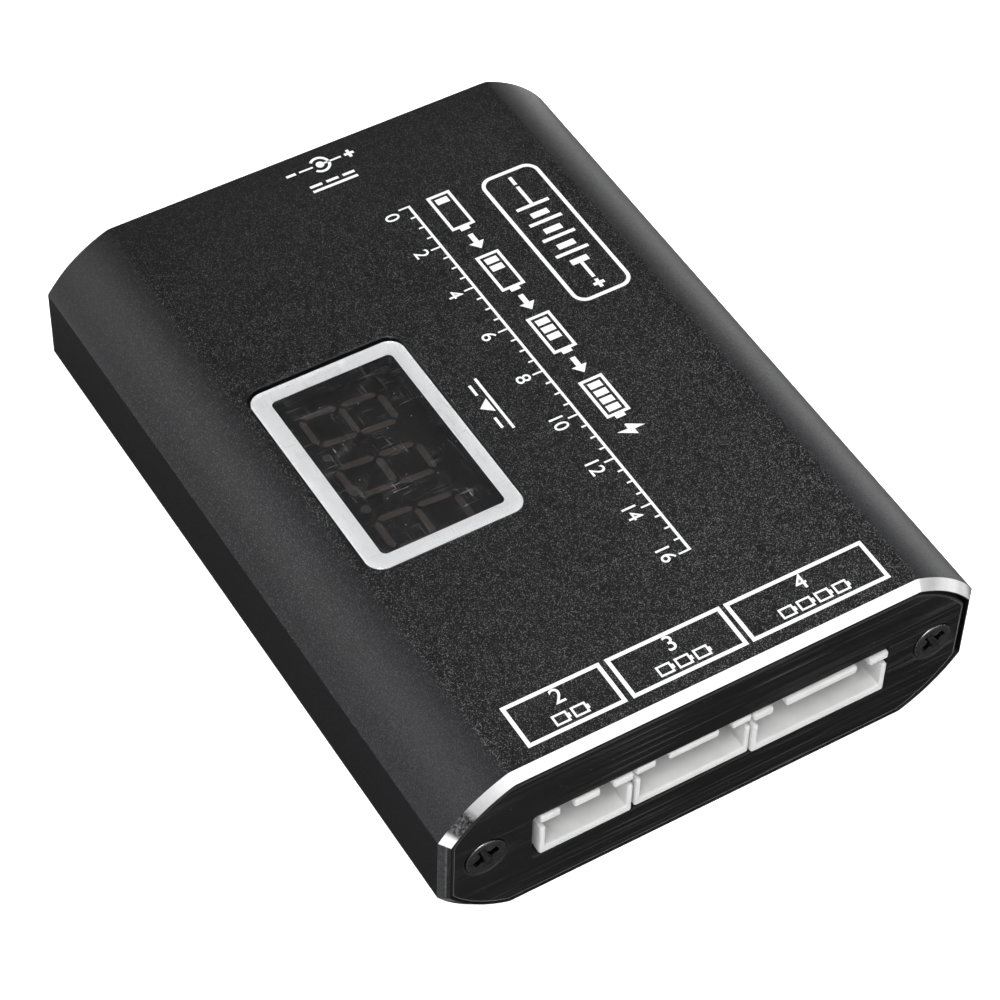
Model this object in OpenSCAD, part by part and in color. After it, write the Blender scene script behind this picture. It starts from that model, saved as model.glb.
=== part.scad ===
// Balance battery charger: extruded aluminium case, two end plates,
// three balance sockets, three-digit display, DC inlet and its board.
// X to the right, Y from the socket end to the inlet end, Z up.
// Origin: centre of the bottom face. All sizes in millimetres.

/* [Case] */
// Length of the extruded tube
body_l = 80; // [80:1:100]
// Width over the side flats
body_w = 58.8; // [58.4:0.2:60]
// Height of the tube
body_h = 20; // [20:0.25:22]
// Half width of the flat top, up to the start of the shoulder
flat_half = 22.2; // [22:0.1:22.6]
// Height from the top flat down to the ridge of the shoulder
ridge_drop = 5.8; // [5.4:0.1:6]
// Radius of the curved shoulders
shoulder_r = 15.6; // [14.5:0.1:17]
// Wall thickness
wall = 1.0; // [0.95:0.05:1.1]
// Bright-cut bevel on both end rims
bevel = 0.88; // [0.5:0.02:0.9]

/* [End plates] */
// Thickness of each end plate
plate_t = 1.5; // [1.2:0.1:1.6]
// Gap between a plate's edge and the tube
plate_gap = 0.3; // [0.28:0.02:0.36]
// Distance of the screws from the middle plane
screw_x = 24.8; // [24.6:0.1:25]
// Height of the screws
screw_z = 10; // [9.8:0.1:10.2]
// Radius of the screw heads
head_r = 2.1; // [1.9:0.05:2.15]
// Radius of the screw threads
thread_r = 0.95; // [0.85:0.05:0.95]
// Length of the screws
screw_l = 8; // [6:0.5:12]

/* [Balance sockets] */
// Contact pitch
pitch = 2.5; // [2.5:0.01:2.54]
// Housing height
sock_h = 5.75; // [5.6:0.05:5.8]
// Housing depth, front to back
sock_d = 9.2; // [9:0.1:10]
// How far the housings stand out of the front plate
sock_proud = 0.2; // [0:0.05:0.4]
// Left edge of the first housing
sock_x0 = -19.15; // [-19.25:0.05:-19]
// Gap between the first two housings
sock_gap = 0.4; // [0.3:0.05:0.4]
// Width of the square contact pins
pin_w = 0.64; // [0.5:0.02:0.64]

/* [Display] */
// Lens width across the case
lens_w = 17.05; // [16.8:0.05:17.1]
// Lens length along the case
lens_l = 25.5; // [25:0.1:25.6]
// Lens corner radius
lens_r = 1.75; // [1.5:0.05:2]
// Lens thickness
lens_t = 0.6; // [0.5:0.05:0.7]
// Clear window width
win_w = 13.45; // [13.2:0.05:13.6]
// Clear window length
win_l = 22.05; // [21.8:0.05:22.2]
// Depth of the display face below the top of the case
face_drop = 2.8; // [2.4:0.05:3]
// Height of the digits
digit_h = 9.1; // [8.8:0.05:9.2]
// Distance from digit to digit
digit_pitch = 7.4; // [7.3:0.05:7.5]

/* [DC inlet] */
// Offset of the inlet from the middle plane
jack_x = 1.0; // [-2:0.5:2]
// Radius of the plug bore
jack_bore_r = 3.15; // [3.1:0.05:3.2]
// Radius of the centre pin
jack_pin_r = 1.0; // [0.95:0.05:1.05]
// Radius of the hole in the rear plate
plug_hole_r = 3.6; // [3.5:0.1:4]

/* [Board] */
// Thickness of the board
board_t = 1.6; // [1.6:0.1:1.7]
// Half width of the board
board_half = 26.1; // [25.8:0.1:26.2]

/* [Hidden] */
$fn = 64;
half_w = body_w / 2;
half_l = body_l / 2;
// Shoulder arc: passes through the edge of the flat and the ridge.
ch_x = half_w - flat_half;
ch = sqrt(ch_x * ch_x + ridge_drop * ridge_drop);
arc_d = sqrt(shoulder_r * shoulder_r - ch * ch / 4);
arc_x = flat_half + ch_x / 2 - ridge_drop / ch * arc_d;
arc_z = body_h - ridge_drop / 2 - ch_x / ch * arc_d;
core_half = flat_half - 0.7;
roof = body_h - wall;
plate_in = wall + plate_gap;
// The plates sit a little off the middle, and their countersinks leave room round the heads
plate_dx = -0.24;
head_room = 0.3;

// Board and what stands on it
board_top = 6.5;
board_z = board_top - board_t;
board_y0 = -half_l + plate_t + 0.3;
board_y1 = half_l - plate_t - 0.3;

// Sockets: 3, 4 and 5 contacts, left to right
sock_n = [3, 4, 5];
function sock_w(n) = pitch * (n - 1) + (n > 3 ? 5.2 : 5);
// The wider two stand almost edge to edge
sock_x = [sock_x0,
          sock_x0 + sock_w(3) + sock_gap,
          sock_x0 + sock_w(3) + sock_w(4) + sock_gap + 0.1];
// The middle housing sits a little further in, the widest a little further out
sock_y = [for (d = [0, 0.2, -0.1]) -half_l - sock_proud + d];
sock_wall = 0.95;
sock_end = 0.6;
cav_d = 6.5;
pin_z = board_top + sock_h / 2;
pin_tail_y = [for (y = sock_y) y + sock_d + 0.75];
slot_x0 = sock_x0 - 0.75;
slot_x1 = sock_x[2] + sock_w(5) + 0.3;
slot_z0 = board_top - 0.32;
slot_z1 = board_top + sock_h + 0.25;

// Display, placed under the window
lens_x = -12.75;
lens_y = -0.72;
win_x = -12.52;
win_y = -0.6;
disp_x = -12.75;
disp_y = -0.93;
// Room round the lens: at the sides, and in all along its length, most of it at the rear
lens_gap = 0.11;
lens_play = 0.4;
mask_t = 0.06;
gasket_t = 0.3;
disp_w = 14.8;
disp_l = 23.4;
disp_h = 7.2;
disp_z = body_h - face_drop;
seg_t = 0.06;
seg_w = 0.72;
lean = 4.8;
disp_pins_x = 5.08;

// Inlet
jack_w = 9;
jack_h = 11;
jack_d = 14.2;
jack_y1 = half_l - plate_t - 0.1;
jack_y0 = jack_y1 - jack_d;
jack_z = board_top + 6.5;
jack_bore_d = 9.5;
jack_root_r = 0.75;
leaf_w = 2.4;
leaf_t = 0.3;
leaf_y = jack_y0 + 3;
leaf_z = board_top + 2.5;

// ---------- shared shapes ----------

// Outline of the tube in X and Z, drawn in by o all round
module outline(o) {
  intersection() {
    translate([-half_w + o, o]) square([body_w - 2 * o, body_h - 2 * o]);
    union() {
      translate([-core_half, o]) square([2 * core_half, body_h - 2 * o]);
      for (sx = [-1, 1]) intersection() {
        translate([sx * arc_x, arc_z]) circle(shoulder_r - o);
        translate([sx * arc_x, body_h - arc_z]) circle(shoulder_r - o);
      }
    }
  }
}

// A prism of a flat X-Z shape, from y0 to y1
module along_y(y0, y1) {
  translate([0, y1, 0]) rotate([90, 0, 0]) linear_extrude(y1 - y0) children();
}

// Rectangle with rounded corners, centred
module round_rect(w, h, r) {
  union() {
    square([w - 2 * r, h], center = true);
    square([w, h - 2 * r], center = true);
    for (sx = [-1, 1]) for (sy = [-1, 1])
      translate([sx * (w / 2 - r), sy * (h / 2 - r)]) circle(r, $fn = 32);
  }
}

module box(x0, x1, y0, y1, z0, z1) {
  translate([x0, y0, z0]) cube([x1 - x0, y1 - y0, z1 - z0]);
}

// A round bar along Y
module bar_y(x, z, y0, y1, r) {
  translate([x, y1, z]) rotate([90, 0, 0]) cylinder(h = y1 - y0, r = r);
}

// ---------- case ----------

// Cylinder along Y whose rims carry the end bevel
module bevelled_drum(x, z) {
  translate([x, 0, z]) rotate([90, 0, 0]) rotate_extrude($fn = 96)
    polygon([[0, -half_l], [shoulder_r - bevel, -half_l], [shoulder_r, -half_l + bevel],
             [shoulder_r, half_l - bevel], [shoulder_r - bevel, half_l], [0, half_l]]);
}

module case_solid() {
  intersection() {
    translate([-half_w, 0, 0]) rotate([90, 0, 90]) linear_extrude(body_w)
      polygon([[-half_l, bevel], [-half_l + bevel, 0], [half_l - bevel, 0], [half_l, bevel],
               [half_l, body_h - bevel], [half_l - bevel, body_h],
               [-half_l + bevel, body_h], [-half_l, body_h - bevel]]);
    linear_extrude(body_h)
      polygon([[-half_w + bevel, -half_l], [half_w - bevel, -half_l],
               [half_w, -half_l + bevel], [half_w, half_l - bevel],
               [half_w - bevel, half_l], [-half_w + bevel, half_l],
               [-half_w, half_l - bevel], [-half_w, -half_l + bevel]]);
    union() {
      box(-core_half, core_half, -half_l, half_l, 0, body_h);
      for (sx = [-1, 1]) intersection() {
        bevelled_drum(sx * arc_x, arc_z);
        bevelled_drum(sx * arc_x, body_h - arc_z);
      }
    }
  }
}

// Screw channel on one side wall, stopping short of the plates
module screw_channel(sx) {
  y = half_l - plate_t - 0.05;
  difference() {
    union() {
      bar_y(sx * screw_x, screw_z, -y, y, 2.2);
      box(min(sx * screw_x, sx * (half_w - wall / 2)), max(sx * screw_x, sx * (half_w - wall / 2)),
          -y, y, screw_z - 1.2, screw_z + 1.2);
    }
    bar_y(sx * screw_x, screw_z, -half_l, half_l, thread_r + 0.03);
  }
}

// Pair of ribs that the board slides between
module board_groove() {
  y = half_l - plate_t - 0.05;
  along_y(-y, y) intersection() {
    outline(wall / 2);
    union() for (sx = [-1, 1]) {
      translate([sx > 0 ? 25.2 : -30, board_z - 0.9]) square([4.8, 0.8]);
      translate([sx > 0 ? 25.2 : -30, board_top + 0.1]) square([4.8, 0.7]);
    }
  }
}

module case_extrusion() {
  color([0.055, 0.055, 0.06]) union() {
    difference() {
      case_solid();
      along_y(-half_l - 1, half_l + 1) outline(wall);
      translate([lens_x, lens_y + lens_play / 2 - 0.03, roof - 1]) linear_extrude(wall + 2)
        round_rect(lens_w + 2 * lens_gap, lens_l + lens_play, lens_r + lens_gap);
    }
    for (sx = [-1, 1]) screw_channel(sx);
    board_groove();
  }
}

// ---------- end plates and screws ----------

// Plate with its two countersunk holes; s = -1 front, 1 rear
module plate_blank(s) {
  difference() {
    translate([plate_dx, 0, 0]) along_y(s < 0 ? -half_l : half_l - plate_t, s < 0 ? -half_l + plate_t : half_l)
      outline(plate_in);
    for (sx = [-1, 1]) translate([sx * screw_x, s * half_l, screw_z]) rotate([s * 90, 0, 0]) {
      translate([0, 0, -0.5]) cylinder(h = plate_t + 1, r = thread_r + 0.35);
      cylinder(h = head_r + head_room - thread_r - 0.35, r1 = head_r + head_room, r2 = thread_r + 0.35);
      translate([0, 0, -0.5]) cylinder(h = 0.5, r = head_r + head_room);
    }
  }
}

module front_plate() {
  color([0.08, 0.08, 0.08]) difference() {
    plate_blank(-1);
    along_y(-half_l - 1, -half_l + plate_t + 1)
      translate([(slot_x0 + slot_x1) / 2, (slot_z0 + slot_z1) / 2])
        round_rect(slot_x1 - slot_x0, slot_z1 - slot_z0, 0.35);
  }
}

module rear_plate() {
  color([0.08, 0.08, 0.08]) difference() {
    plate_blank(1);
    bar_y(jack_x, jack_z, half_l - plate_t - 1, half_l + 1, plug_hole_r);
  }
}

// Countersunk screw with a cross recess, head face at the origin, shank along +Z
module screw() {
  difference() {
    union() {
      cylinder(h = head_r - thread_r, r1 = head_r, r2 = thread_r);
      cylinder(h = screw_l - 1.2, r = thread_r);
      translate([0, 0, screw_l - 1.2]) cylinder(h = 1.2, r1 = thread_r, r2 = 0.25);
    }
    rotate([0, 0, 32]) {
      translate([-1.25, -0.27, -0.5]) cube([2.5, 0.54, 1.15]);
      translate([-0.27, -1.25, -0.5]) cube([0.54, 2.5, 1.15]);
    }
  }
}

module end_screws(s) {
  for (sx = [-1, 1]) translate([sx * screw_x, s * (half_l - 0.02), screw_z])
    rotate([s * 90, 0, 0]) screw();
}

module front_screws() { color([0.1, 0.1, 0.1]) end_screws(-1); }
module rear_screws() { color([0.1, 0.1, 0.1]) end_screws(1); }

// ---------- balance sockets ----------

// Shrouded housing: plain floor, top wall with two keying notches, slits in the end walls
module socket_housing(i) {
  n = sock_n[i];
  w = sock_w(n);
  x = sock_x[i];
  y = sock_y[i];
  top = board_top + sock_h;
  color([0.92, 0.92, 0.9]) difference() {
    box(x, x + w, y, y + sock_d, board_top, top);
    box(x + sock_end, x + w - sock_end, y - 1, y + cav_d,
        board_top + sock_wall, top - sock_wall);
    for (nx = [x + 2.15, x + w - 3.6])
      box(nx, nx + 1.45, y - 1, y + 5, top - sock_wall - 0.5, top + 1);
    for (ex = [x - 1, x + w - sock_end - 0.5])
      box(ex, ex + sock_end + 1.5, y - 1, y + 5, top - sock_wall - 0.8, top - sock_wall);
    for (k = [0 : n - 1])
      box(pin_at(i, k) - pin_w / 2 - 0.01, pin_at(i, k) + pin_w / 2 + 0.01,
          y + cav_d - 1, y + sock_d + 1,
          pin_z - pin_w / 2 - 0.01, pin_z + pin_w / 2 + 0.01);
  }
}

function pin_at(i, k) = sock_x[i] + sock_w(sock_n[i]) / 2 + (k - (sock_n[i] - 1) / 2) * pitch;

// Right-angle contact pins: straight through the housing, then down through the board
module socket_pins(i) {
  y = sock_y[i];
  t = pin_tail_y[i];
  color([0.82, 0.8, 0.74]) for (k = [0 : sock_n[i] - 1])
    translate([pin_at(i, k) - pin_w / 2, 0, 0]) rotate([90, 0, 90]) linear_extrude(pin_w)
      polygon([[y + 2.4, pin_z - pin_w / 2], [t - pin_w / 2, pin_z - pin_w / 2],
               [t - pin_w / 2, board_z - 1.3], [t + pin_w / 2, board_z - 1.3],
               [t + pin_w / 2, pin_z + pin_w / 2 - 0.3], [t + pin_w / 2 - 0.3, pin_z + pin_w / 2],
               [y + 2.7, pin_z + pin_w / 2], [y + 2.4, pin_z + pin_w / 2 - 0.18]]);
}

module socket_2cell() { socket_housing(0); }
module socket_3cell() { socket_housing(1); }
module socket_4cell() { socket_housing(2); }
module pins_2cell() { socket_pins(0); }
module pins_3cell() { socket_pins(1); }
module pins_4cell() { socket_pins(2); }

// ---------- display ----------

module display_lens() {
  color([0.85, 0.9, 0.92, 0.35]) translate([lens_x, lens_y, body_h - lens_t])
    linear_extrude(lens_t) round_rect(lens_w, lens_l, lens_r);
}

// White border printed on the back of the lens
module lens_mask() {
  color([0.95, 0.95, 0.95]) translate([0, 0, body_h - lens_t - mask_t]) linear_extrude(mask_t)
    difference() {
      translate([lens_x, lens_y]) round_rect(lens_w, lens_l, lens_r);
      translate([win_x, win_y]) round_rect(win_w, win_l, 0.6);
    }
}

// Stepped foam frame: a flange stuck to the inside of the roof, a step that carries the lens,
// and a skirt that reaches down to the display face and keeps stray light out
module lens_gasket() {
  color([0.05, 0.05, 0.05]) difference() {
    union() {
      translate([lens_x, lens_y, roof - gasket_t]) linear_extrude(gasket_t) round_rect(lens_w + 1.1, lens_l + 2.8, 1);
      translate([lens_x, lens_y, roof - gasket_t]) linear_extrude(gasket_t + wall - lens_t - mask_t)
        round_rect(lens_w - 0.2, lens_l - 0.2, lens_r - 0.1);
      translate([win_x, win_y, disp_z + 0.04]) linear_extrude(roof - disp_z - 0.14)
        round_rect(win_w + 2.3, win_l + 2.3, 1);
    }
    translate([win_x, win_y, disp_z - 1]) linear_extrude(body_h - disp_z + 2) round_rect(win_w + 0.5, win_l + 0.5, 0.6);
  }
}

module display_body() {
  color([0.03, 0.03, 0.03]) difference() {
    translate([disp_x - disp_w / 2, disp_y - disp_l / 2, disp_z - disp_h]) cube([disp_w, disp_l, disp_h]);
    // hollow underside of the reflector frame
    translate([disp_x - disp_w / 2 + 1, disp_y - disp_l / 2 + 1, disp_z - disp_h - 1])
      cube([disp_w - 2, disp_l - 2, 2]);
  }
}

// One segment of a digit: a bar with mitred ends, along local X, centred
module segment(l) {
  linear_extrude(seg_t) polygon([[-l / 2, 0], [-l / 2 + seg_w / 2, seg_w / 2], [l / 2 - seg_w / 2, seg_w / 2],
                                 [l / 2, 0], [l / 2 - seg_w / 2, -seg_w / 2], [-l / 2 + seg_w / 2, -seg_w / 2]]);
}

// A digit in its own frame: u to the reader's right, v up, lean to the right.
// The reader faces +X, so u runs along -Y and v along +X.
function digit_y(v) = -v * tan(lean);
module digit(yc) {
  hw = 4.75 / 2 - seg_w / 2;
  hv = digit_h / 2 - seg_w / 2;
  // three cross bars
  for (v = [-hv, 0, hv]) translate([disp_x + v, yc + digit_y(v), disp_z]) rotate([0, 0, 90]) segment(2 * hw - 0.5);
  // four side bars, set along the lean
  for (su = [-1, 1]) for (sv = [-1, 1])
    translate([disp_x + sv * hv / 2, yc - su * hw + digit_y(sv * hv / 2), disp_z]) rotate([0, 0, -lean]) segment(hv - 0.5);
}

module display_segments() {
  color([0.2, 0.17, 0.15]) {
    for (k = [-1, 0, 1]) digit(disp_y + k * digit_pitch);
    for (k = [0, 1]) translate([disp_x - digit_h / 2 + 0.35, disp_y + k * digit_pitch - 3.35, disp_z])
      cylinder(h = seg_t, r = 0.5);
  }
}

module display_pins() {
  color([0.8, 0.8, 0.78]) for (sx = [-1, 1]) for (k = [0 : 5])
    translate([disp_x + sx * disp_pins_x, disp_y + (k - 2.5) * 2.54, board_z - 1.2])
      cylinder(h = disp_z - disp_h + 1 - board_z + 1.2, r = 0.25);
}

// ---------- DC inlet ----------

module jack_housing() {
  color([0.06, 0.06, 0.06]) difference() {
    union() {
      // front flange and the narrower body behind it
      box(jack_x - jack_w / 2, jack_x + jack_w / 2, jack_y1 - 3.4, jack_y1, board_top, board_top + jack_h);
      box(jack_x - jack_w / 2 + 0.4, jack_x + jack_w / 2 - 0.4, jack_y0, jack_y1 - 3, board_top, jack_z);
      intersection() {
        bar_y(jack_x, jack_z, jack_y0, jack_y1 - 3, jack_w / 2 - 0.4);
        box(jack_x - 10, jack_x + 10, jack_y0 - 1, jack_y1, board_top, board_top + jack_h);
      }
    }
    bar_y(jack_x, jack_z, jack_y1 - jack_bore_d, jack_y1 + 1, jack_bore_r);
    bar_y(jack_x, jack_z, jack_y0 - 1, jack_y1, jack_root_r + 0.02);
    // channel that the spring moves in, open to the bore
    box(jack_x - 1.6, jack_x + 1.6, jack_y0 + 2.2, jack_y1 - 0.9, board_top + 1.1, jack_z - 1.9);
    // slot in its floor for the sleeve contact's tail
    box(jack_x - leaf_w / 2 - 0.05, jack_x + leaf_w / 2 + 0.05, leaf_y - 0.75, leaf_y - 0.25, board_top - 1, board_top + 2);
  }
}

// Centre contact: round pin with a tapered free end; its thinner root goes through the back of the housing
module jack_centre_pin() {
  color([0.78, 0.76, 0.7]) union() {
    bar_y(jack_x, jack_z, jack_y0 - 0.9, jack_y1 - jack_bore_d + 0.1, jack_root_r);
    bar_y(jack_x, jack_z, jack_y1 - jack_bore_d + 0.02, jack_y1 - 0.9, jack_pin_r);
    translate([jack_x, jack_y1 - 0.9, jack_z]) rotate([-90, 0, 0])
      cylinder(h = 0.5, r1 = jack_pin_r, r2 = jack_pin_r * 0.5);
  }
}

// Leaf contact in its channel; its crest reaches into the bore
module jack_spring() {
  color([0.8, 0.76, 0.62]) translate([jack_x - leaf_w / 2, 0, 0]) rotate([90, 0, 90]) linear_extrude(leaf_w)
    polygon([[leaf_y, leaf_z], [leaf_y + 5.6, leaf_z + 1.1], [leaf_y + 6.8, leaf_z + 1.5],
             [leaf_y + 8, leaf_z + 1.05], [leaf_y + 9.2, leaf_z + 0.45],
             [leaf_y + 9.2, leaf_z + 0.45 - leaf_t], [leaf_y + 8, leaf_z + 1.05 - leaf_t],
             [leaf_y + 6.8, leaf_z + 1.5 - leaf_t], [leaf_y + 5.6, leaf_z + 1.1 - leaf_t],
             [leaf_y, leaf_z - leaf_t]]);
}

// Fixed solder tails: centre contact, sleeve contact (its top meets the leaf's root) and side contact
module jack_terminals() {
  color([0.8, 0.8, 0.78]) {
    difference() {
      box(jack_x - 1.6, jack_x + 1.6, jack_y0 - 0.65, jack_y0 - 0.05, board_z - 1.2, jack_z + 1.6);
      bar_y(jack_x, jack_z, jack_y0 - 2, jack_y0 + 1, jack_root_r + 0.02);
    }
    box(jack_x - leaf_w / 2, jack_x + leaf_w / 2, leaf_y - 0.7, leaf_y - 0.3, board_z - 1.2, leaf_z);
    box(jack_x - jack_w / 2 - 0.2, jack_x - jack_w / 2 + 0.4, jack_y0 + 5, jack_y0 + 7.4, board_z - 1.2, jack_z - 2);
  }
}

// ---------- board and components ----------

module hole_z(x, y, r) { translate([x, y, board_z - 1]) cylinder(h = board_t + 2, r = r, $fn = 24); }

module main_board() {
  color([0.05, 0.22, 0.12]) difference() {
    box(-board_half, board_half, board_y0, board_y1, board_z, board_top);
    for (i = [0 : 2]) for (k = [0 : sock_n[i] - 1]) hole_z(pin_at(i, k), pin_tail_y[i], 0.55);
    for (sx = [-1, 1]) for (k = [0 : 5]) hole_z(disp_x + sx * disp_pins_x, disp_y + (k - 2.5) * 2.54, 0.4);
    box(jack_x - 1.8, jack_x + 1.8, jack_y0 - 0.85, jack_y0 + 0.15, board_z - 1, board_top + 1);
    box(jack_x - leaf_w / 2 - 0.2, jack_x + leaf_w / 2 + 0.2, leaf_y - 0.9, leaf_y - 0.1, board_z - 1, board_top + 1);
    box(jack_x - jack_w / 2 - 0.4, jack_x - jack_w / 2 + 0.6, jack_y0 + 4.8, jack_y0 + 7.6, board_z - 1, board_top + 1);
    for (c = cap_at) for (s = [-1, 1]) hole_z(c[0] + s * 1.75, c[1], 0.45);
  }
}

module insulation_sheet() {
  color([0.75, 0.62, 0.3, 0.9]) box(-20, 20, -36, 36, wall + 0.05, wall + 0.25);
}

chip_x = 7;
chip_y = -10;
module controller_chip() {
  color([0.07, 0.07, 0.07]) difference() {
    box(chip_x - 5, chip_x + 5, chip_y - 5, chip_y + 5, board_top + 0.1, board_top + 1.5);
    translate([chip_x - 4, chip_y + 4, board_top + 1.4]) cylinder(h = 1, r = 0.5);
  }
}

// Gull-wing leads on the four sides of the controller
module controller_leads() {
  color([0.8, 0.8, 0.8]) for (a = [0 : 90 : 270]) translate([chip_x, chip_y, board_top]) rotate([0, 0, a])
    for (k = [0 : 10]) translate([(k - 5) * 0.8 - 0.18, 0, 0]) rotate([90, 0, 90]) linear_extrude(0.36)
      polygon([[5, 0.7], [5.45, 0.7], [5.65, 0.02], [6.3, 0.02], [6.3, 0.22], [5.8, 0.22], [5.6, 0.9], [5, 0.9]]);
}

// Four power transistors: moulded body over a soldered metal tab
fet_at = [[18.5, -3], [18.5, -13], [18.5, -23], [-1, 17]];
module power_transistors() {
  color([0.08, 0.08, 0.08]) for (p = fet_at) translate([p[0], p[1], board_top]) union() {
    translate([-3.3, -3, 0.5]) cube([6.6, 6, 1.8]);
    translate([-2.6, 2.9, 0.02]) cube([5.2, 1.1, 0.5]);
    translate([-2.6, -3, 0.02]) cube([5.2, 6, 0.6]);
    for (sx = [-1, 1]) translate([sx * 2.28 - 0.4, -5.2, 0.02]) cube([0.8, 2.5, 0.6]);
  }
}

// Drum core: two flanges and a stem
ind_x = 10;
ind_y = 8.5;
module inductor_core() {
  color([0.18, 0.18, 0.19]) translate([ind_x, ind_y, board_top + 0.05]) rotate_extrude()
    polygon([[0, 0], [5.5, 0], [5.5, 1.4], [2.6, 1.4], [2.6, 6.2], [5.5, 6.2], [5.5, 7.6], [0, 7.6]]);
}

// Winding: stacked turns of round wire
module inductor_coil() {
  color([0.72, 0.38, 0.18]) translate([ind_x, ind_y, board_top + 0.05]) union() {
    for (k = [0 : 4]) translate([0, 0, 2.0 + k * 0.9]) rotate_extrude() translate([4.05, 0]) circle(0.5, $fn = 24);
    translate([0, 0, 1.5]) difference() {
      cylinder(h = 4.6, r = 4);
      translate([0, 0, -1]) cylinder(h = 7, r = 2.65);
    }
  }
}

cap_at = [[8.5, 19], [17.5, 19], [17.5, 29]];
// Electrolytic capacitors: rolled can with a crimp groove, on two leads
module capacitors() {
  color([0.12, 0.12, 0.16]) for (c = cap_at) translate([c[0], c[1], board_top]) union() {
    translate([0, 0, 0.3]) rotate_extrude()
      polygon([[0, 0], [3.8, 0], [4, 0.2], [4, 1.5], [3.7, 1.9], [4, 2.3], [4, 10.6], [3.7, 11], [0, 11]]);
    for (s = [-1, 1]) translate([s * 1.75, 0, -board_t - 1.2]) cylinder(h = board_t + 2, r = 0.25, $fn = 24);
  }
}

// Balance resistors: flat blocks with plated ends, four per row
module balance_resistors() {
  color([0.12, 0.12, 0.12]) for (row = [0, 1]) for (k = [0 : 3])
    translate([-19 + k * 8, -26.2 + row * 4.6, board_top + 0.02]) union() {
      cube([6.3, 3.2, 0.55]);
      translate([0.5, 0.1, 0.5]) cube([5.3, 3, 0.12]);
    }
}

module input_diode() {
  color([0.07, 0.07, 0.07]) translate([-11, 31, board_top + 0.02]) union() {
    translate([-3.4, -2.9, 0.25]) cube([6.8, 5.8, 2]);
    for (s = [-1, 1]) translate([s * 3.3 - 0.7, -1.5, 0]) cube([1.4, 3, 0.6]);
  }
}

module voltage_regulator() {
  color([0.07, 0.07, 0.07]) translate([-14, 19, board_top + 0.02]) union() {
    translate([-3.25, -1.75, 0.15]) cube([6.5, 3.5, 1.5]);
    translate([-1.5, 1.6, 0]) cube([3, 1.9, 0.5]);
    for (k = [-1, 0, 1]) translate([k * 2.3 - 0.35, -3.5, 0]) cube([0.7, 2, 0.5]);
  }
}

case_extrusion();
front_plate();
rear_plate();
front_screws();
rear_screws();
socket_2cell();
socket_3cell();
socket_4cell();
pins_2cell();
pins_3cell();
pins_4cell();
display_lens();
lens_mask();
lens_gasket();
display_body();
display_segments();
display_pins();
jack_housing();
jack_centre_pin();
jack_spring();
jack_terminals();
main_board();
insulation_sheet();
controller_chip();
controller_leads();
power_transistors();
inductor_core();
inductor_coil();
capacitors();
balance_resistors();
input_diode();
voltage_regulator();
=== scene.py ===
"""Balance battery charger: finished surfaces around the fixed CAD frame.

Geometry is written in millimetres and scaled to metres when a mesh is made.
X right, Y from the socket end to the inlet end, Z up, origin at the middle of the bottom face.
"""
import bpy
import bmesh
import math
from math import sin, cos, pi, sqrt, atan2, radians
from mathutils import Vector, Matrix
from mathutils.geometry import delaunay_2d_cdt


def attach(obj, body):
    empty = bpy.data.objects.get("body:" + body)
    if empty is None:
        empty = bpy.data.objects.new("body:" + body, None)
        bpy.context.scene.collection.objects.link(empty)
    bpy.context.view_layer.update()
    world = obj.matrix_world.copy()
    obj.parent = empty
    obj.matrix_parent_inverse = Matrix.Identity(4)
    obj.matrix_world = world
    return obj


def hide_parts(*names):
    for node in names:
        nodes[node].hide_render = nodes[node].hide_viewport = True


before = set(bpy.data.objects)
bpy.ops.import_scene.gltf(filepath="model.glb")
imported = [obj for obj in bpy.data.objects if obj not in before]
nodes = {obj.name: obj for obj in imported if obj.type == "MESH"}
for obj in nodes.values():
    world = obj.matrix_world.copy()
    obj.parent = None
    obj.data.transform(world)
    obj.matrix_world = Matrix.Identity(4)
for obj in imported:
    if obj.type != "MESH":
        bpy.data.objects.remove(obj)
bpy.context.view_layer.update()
MM = 0.001
scene = bpy.context.scene

# ------------------------------------------------------------------ camera
cam_data = bpy.data.cameras.new("camera")
cam_data.sensor_fit = "HORIZONTAL"
cam_data.sensor_width = 36.0
cam_data.lens = 123.678
cam_data.clip_start = 0.01
cam_data.clip_end = 20.0
camera = bpy.data.objects.new("camera", cam_data)
scene.collection.objects.link(camera)
c_right = Vector((0.85657584, -0.51549902, 0.02320738))
c_down = Vector((-0.37814012, -0.65766546, -0.65152604))
c_fwd = Vector((0.35112373, 0.54930583, -0.75827121))
pose = Matrix.Identity(4)
for row in range(3):
    pose[row][0] = c_right[row]
    pose[row][1] = -c_down[row]
    pose[row][2] = -c_fwd[row]
pose.translation = Vector((-120.374, -189.704, 266.022)) * MM
camera.matrix_world = pose
scene.camera = camera
scene.view_settings.view_transform = "Standard"
scene.view_settings.look = "None"


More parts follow.
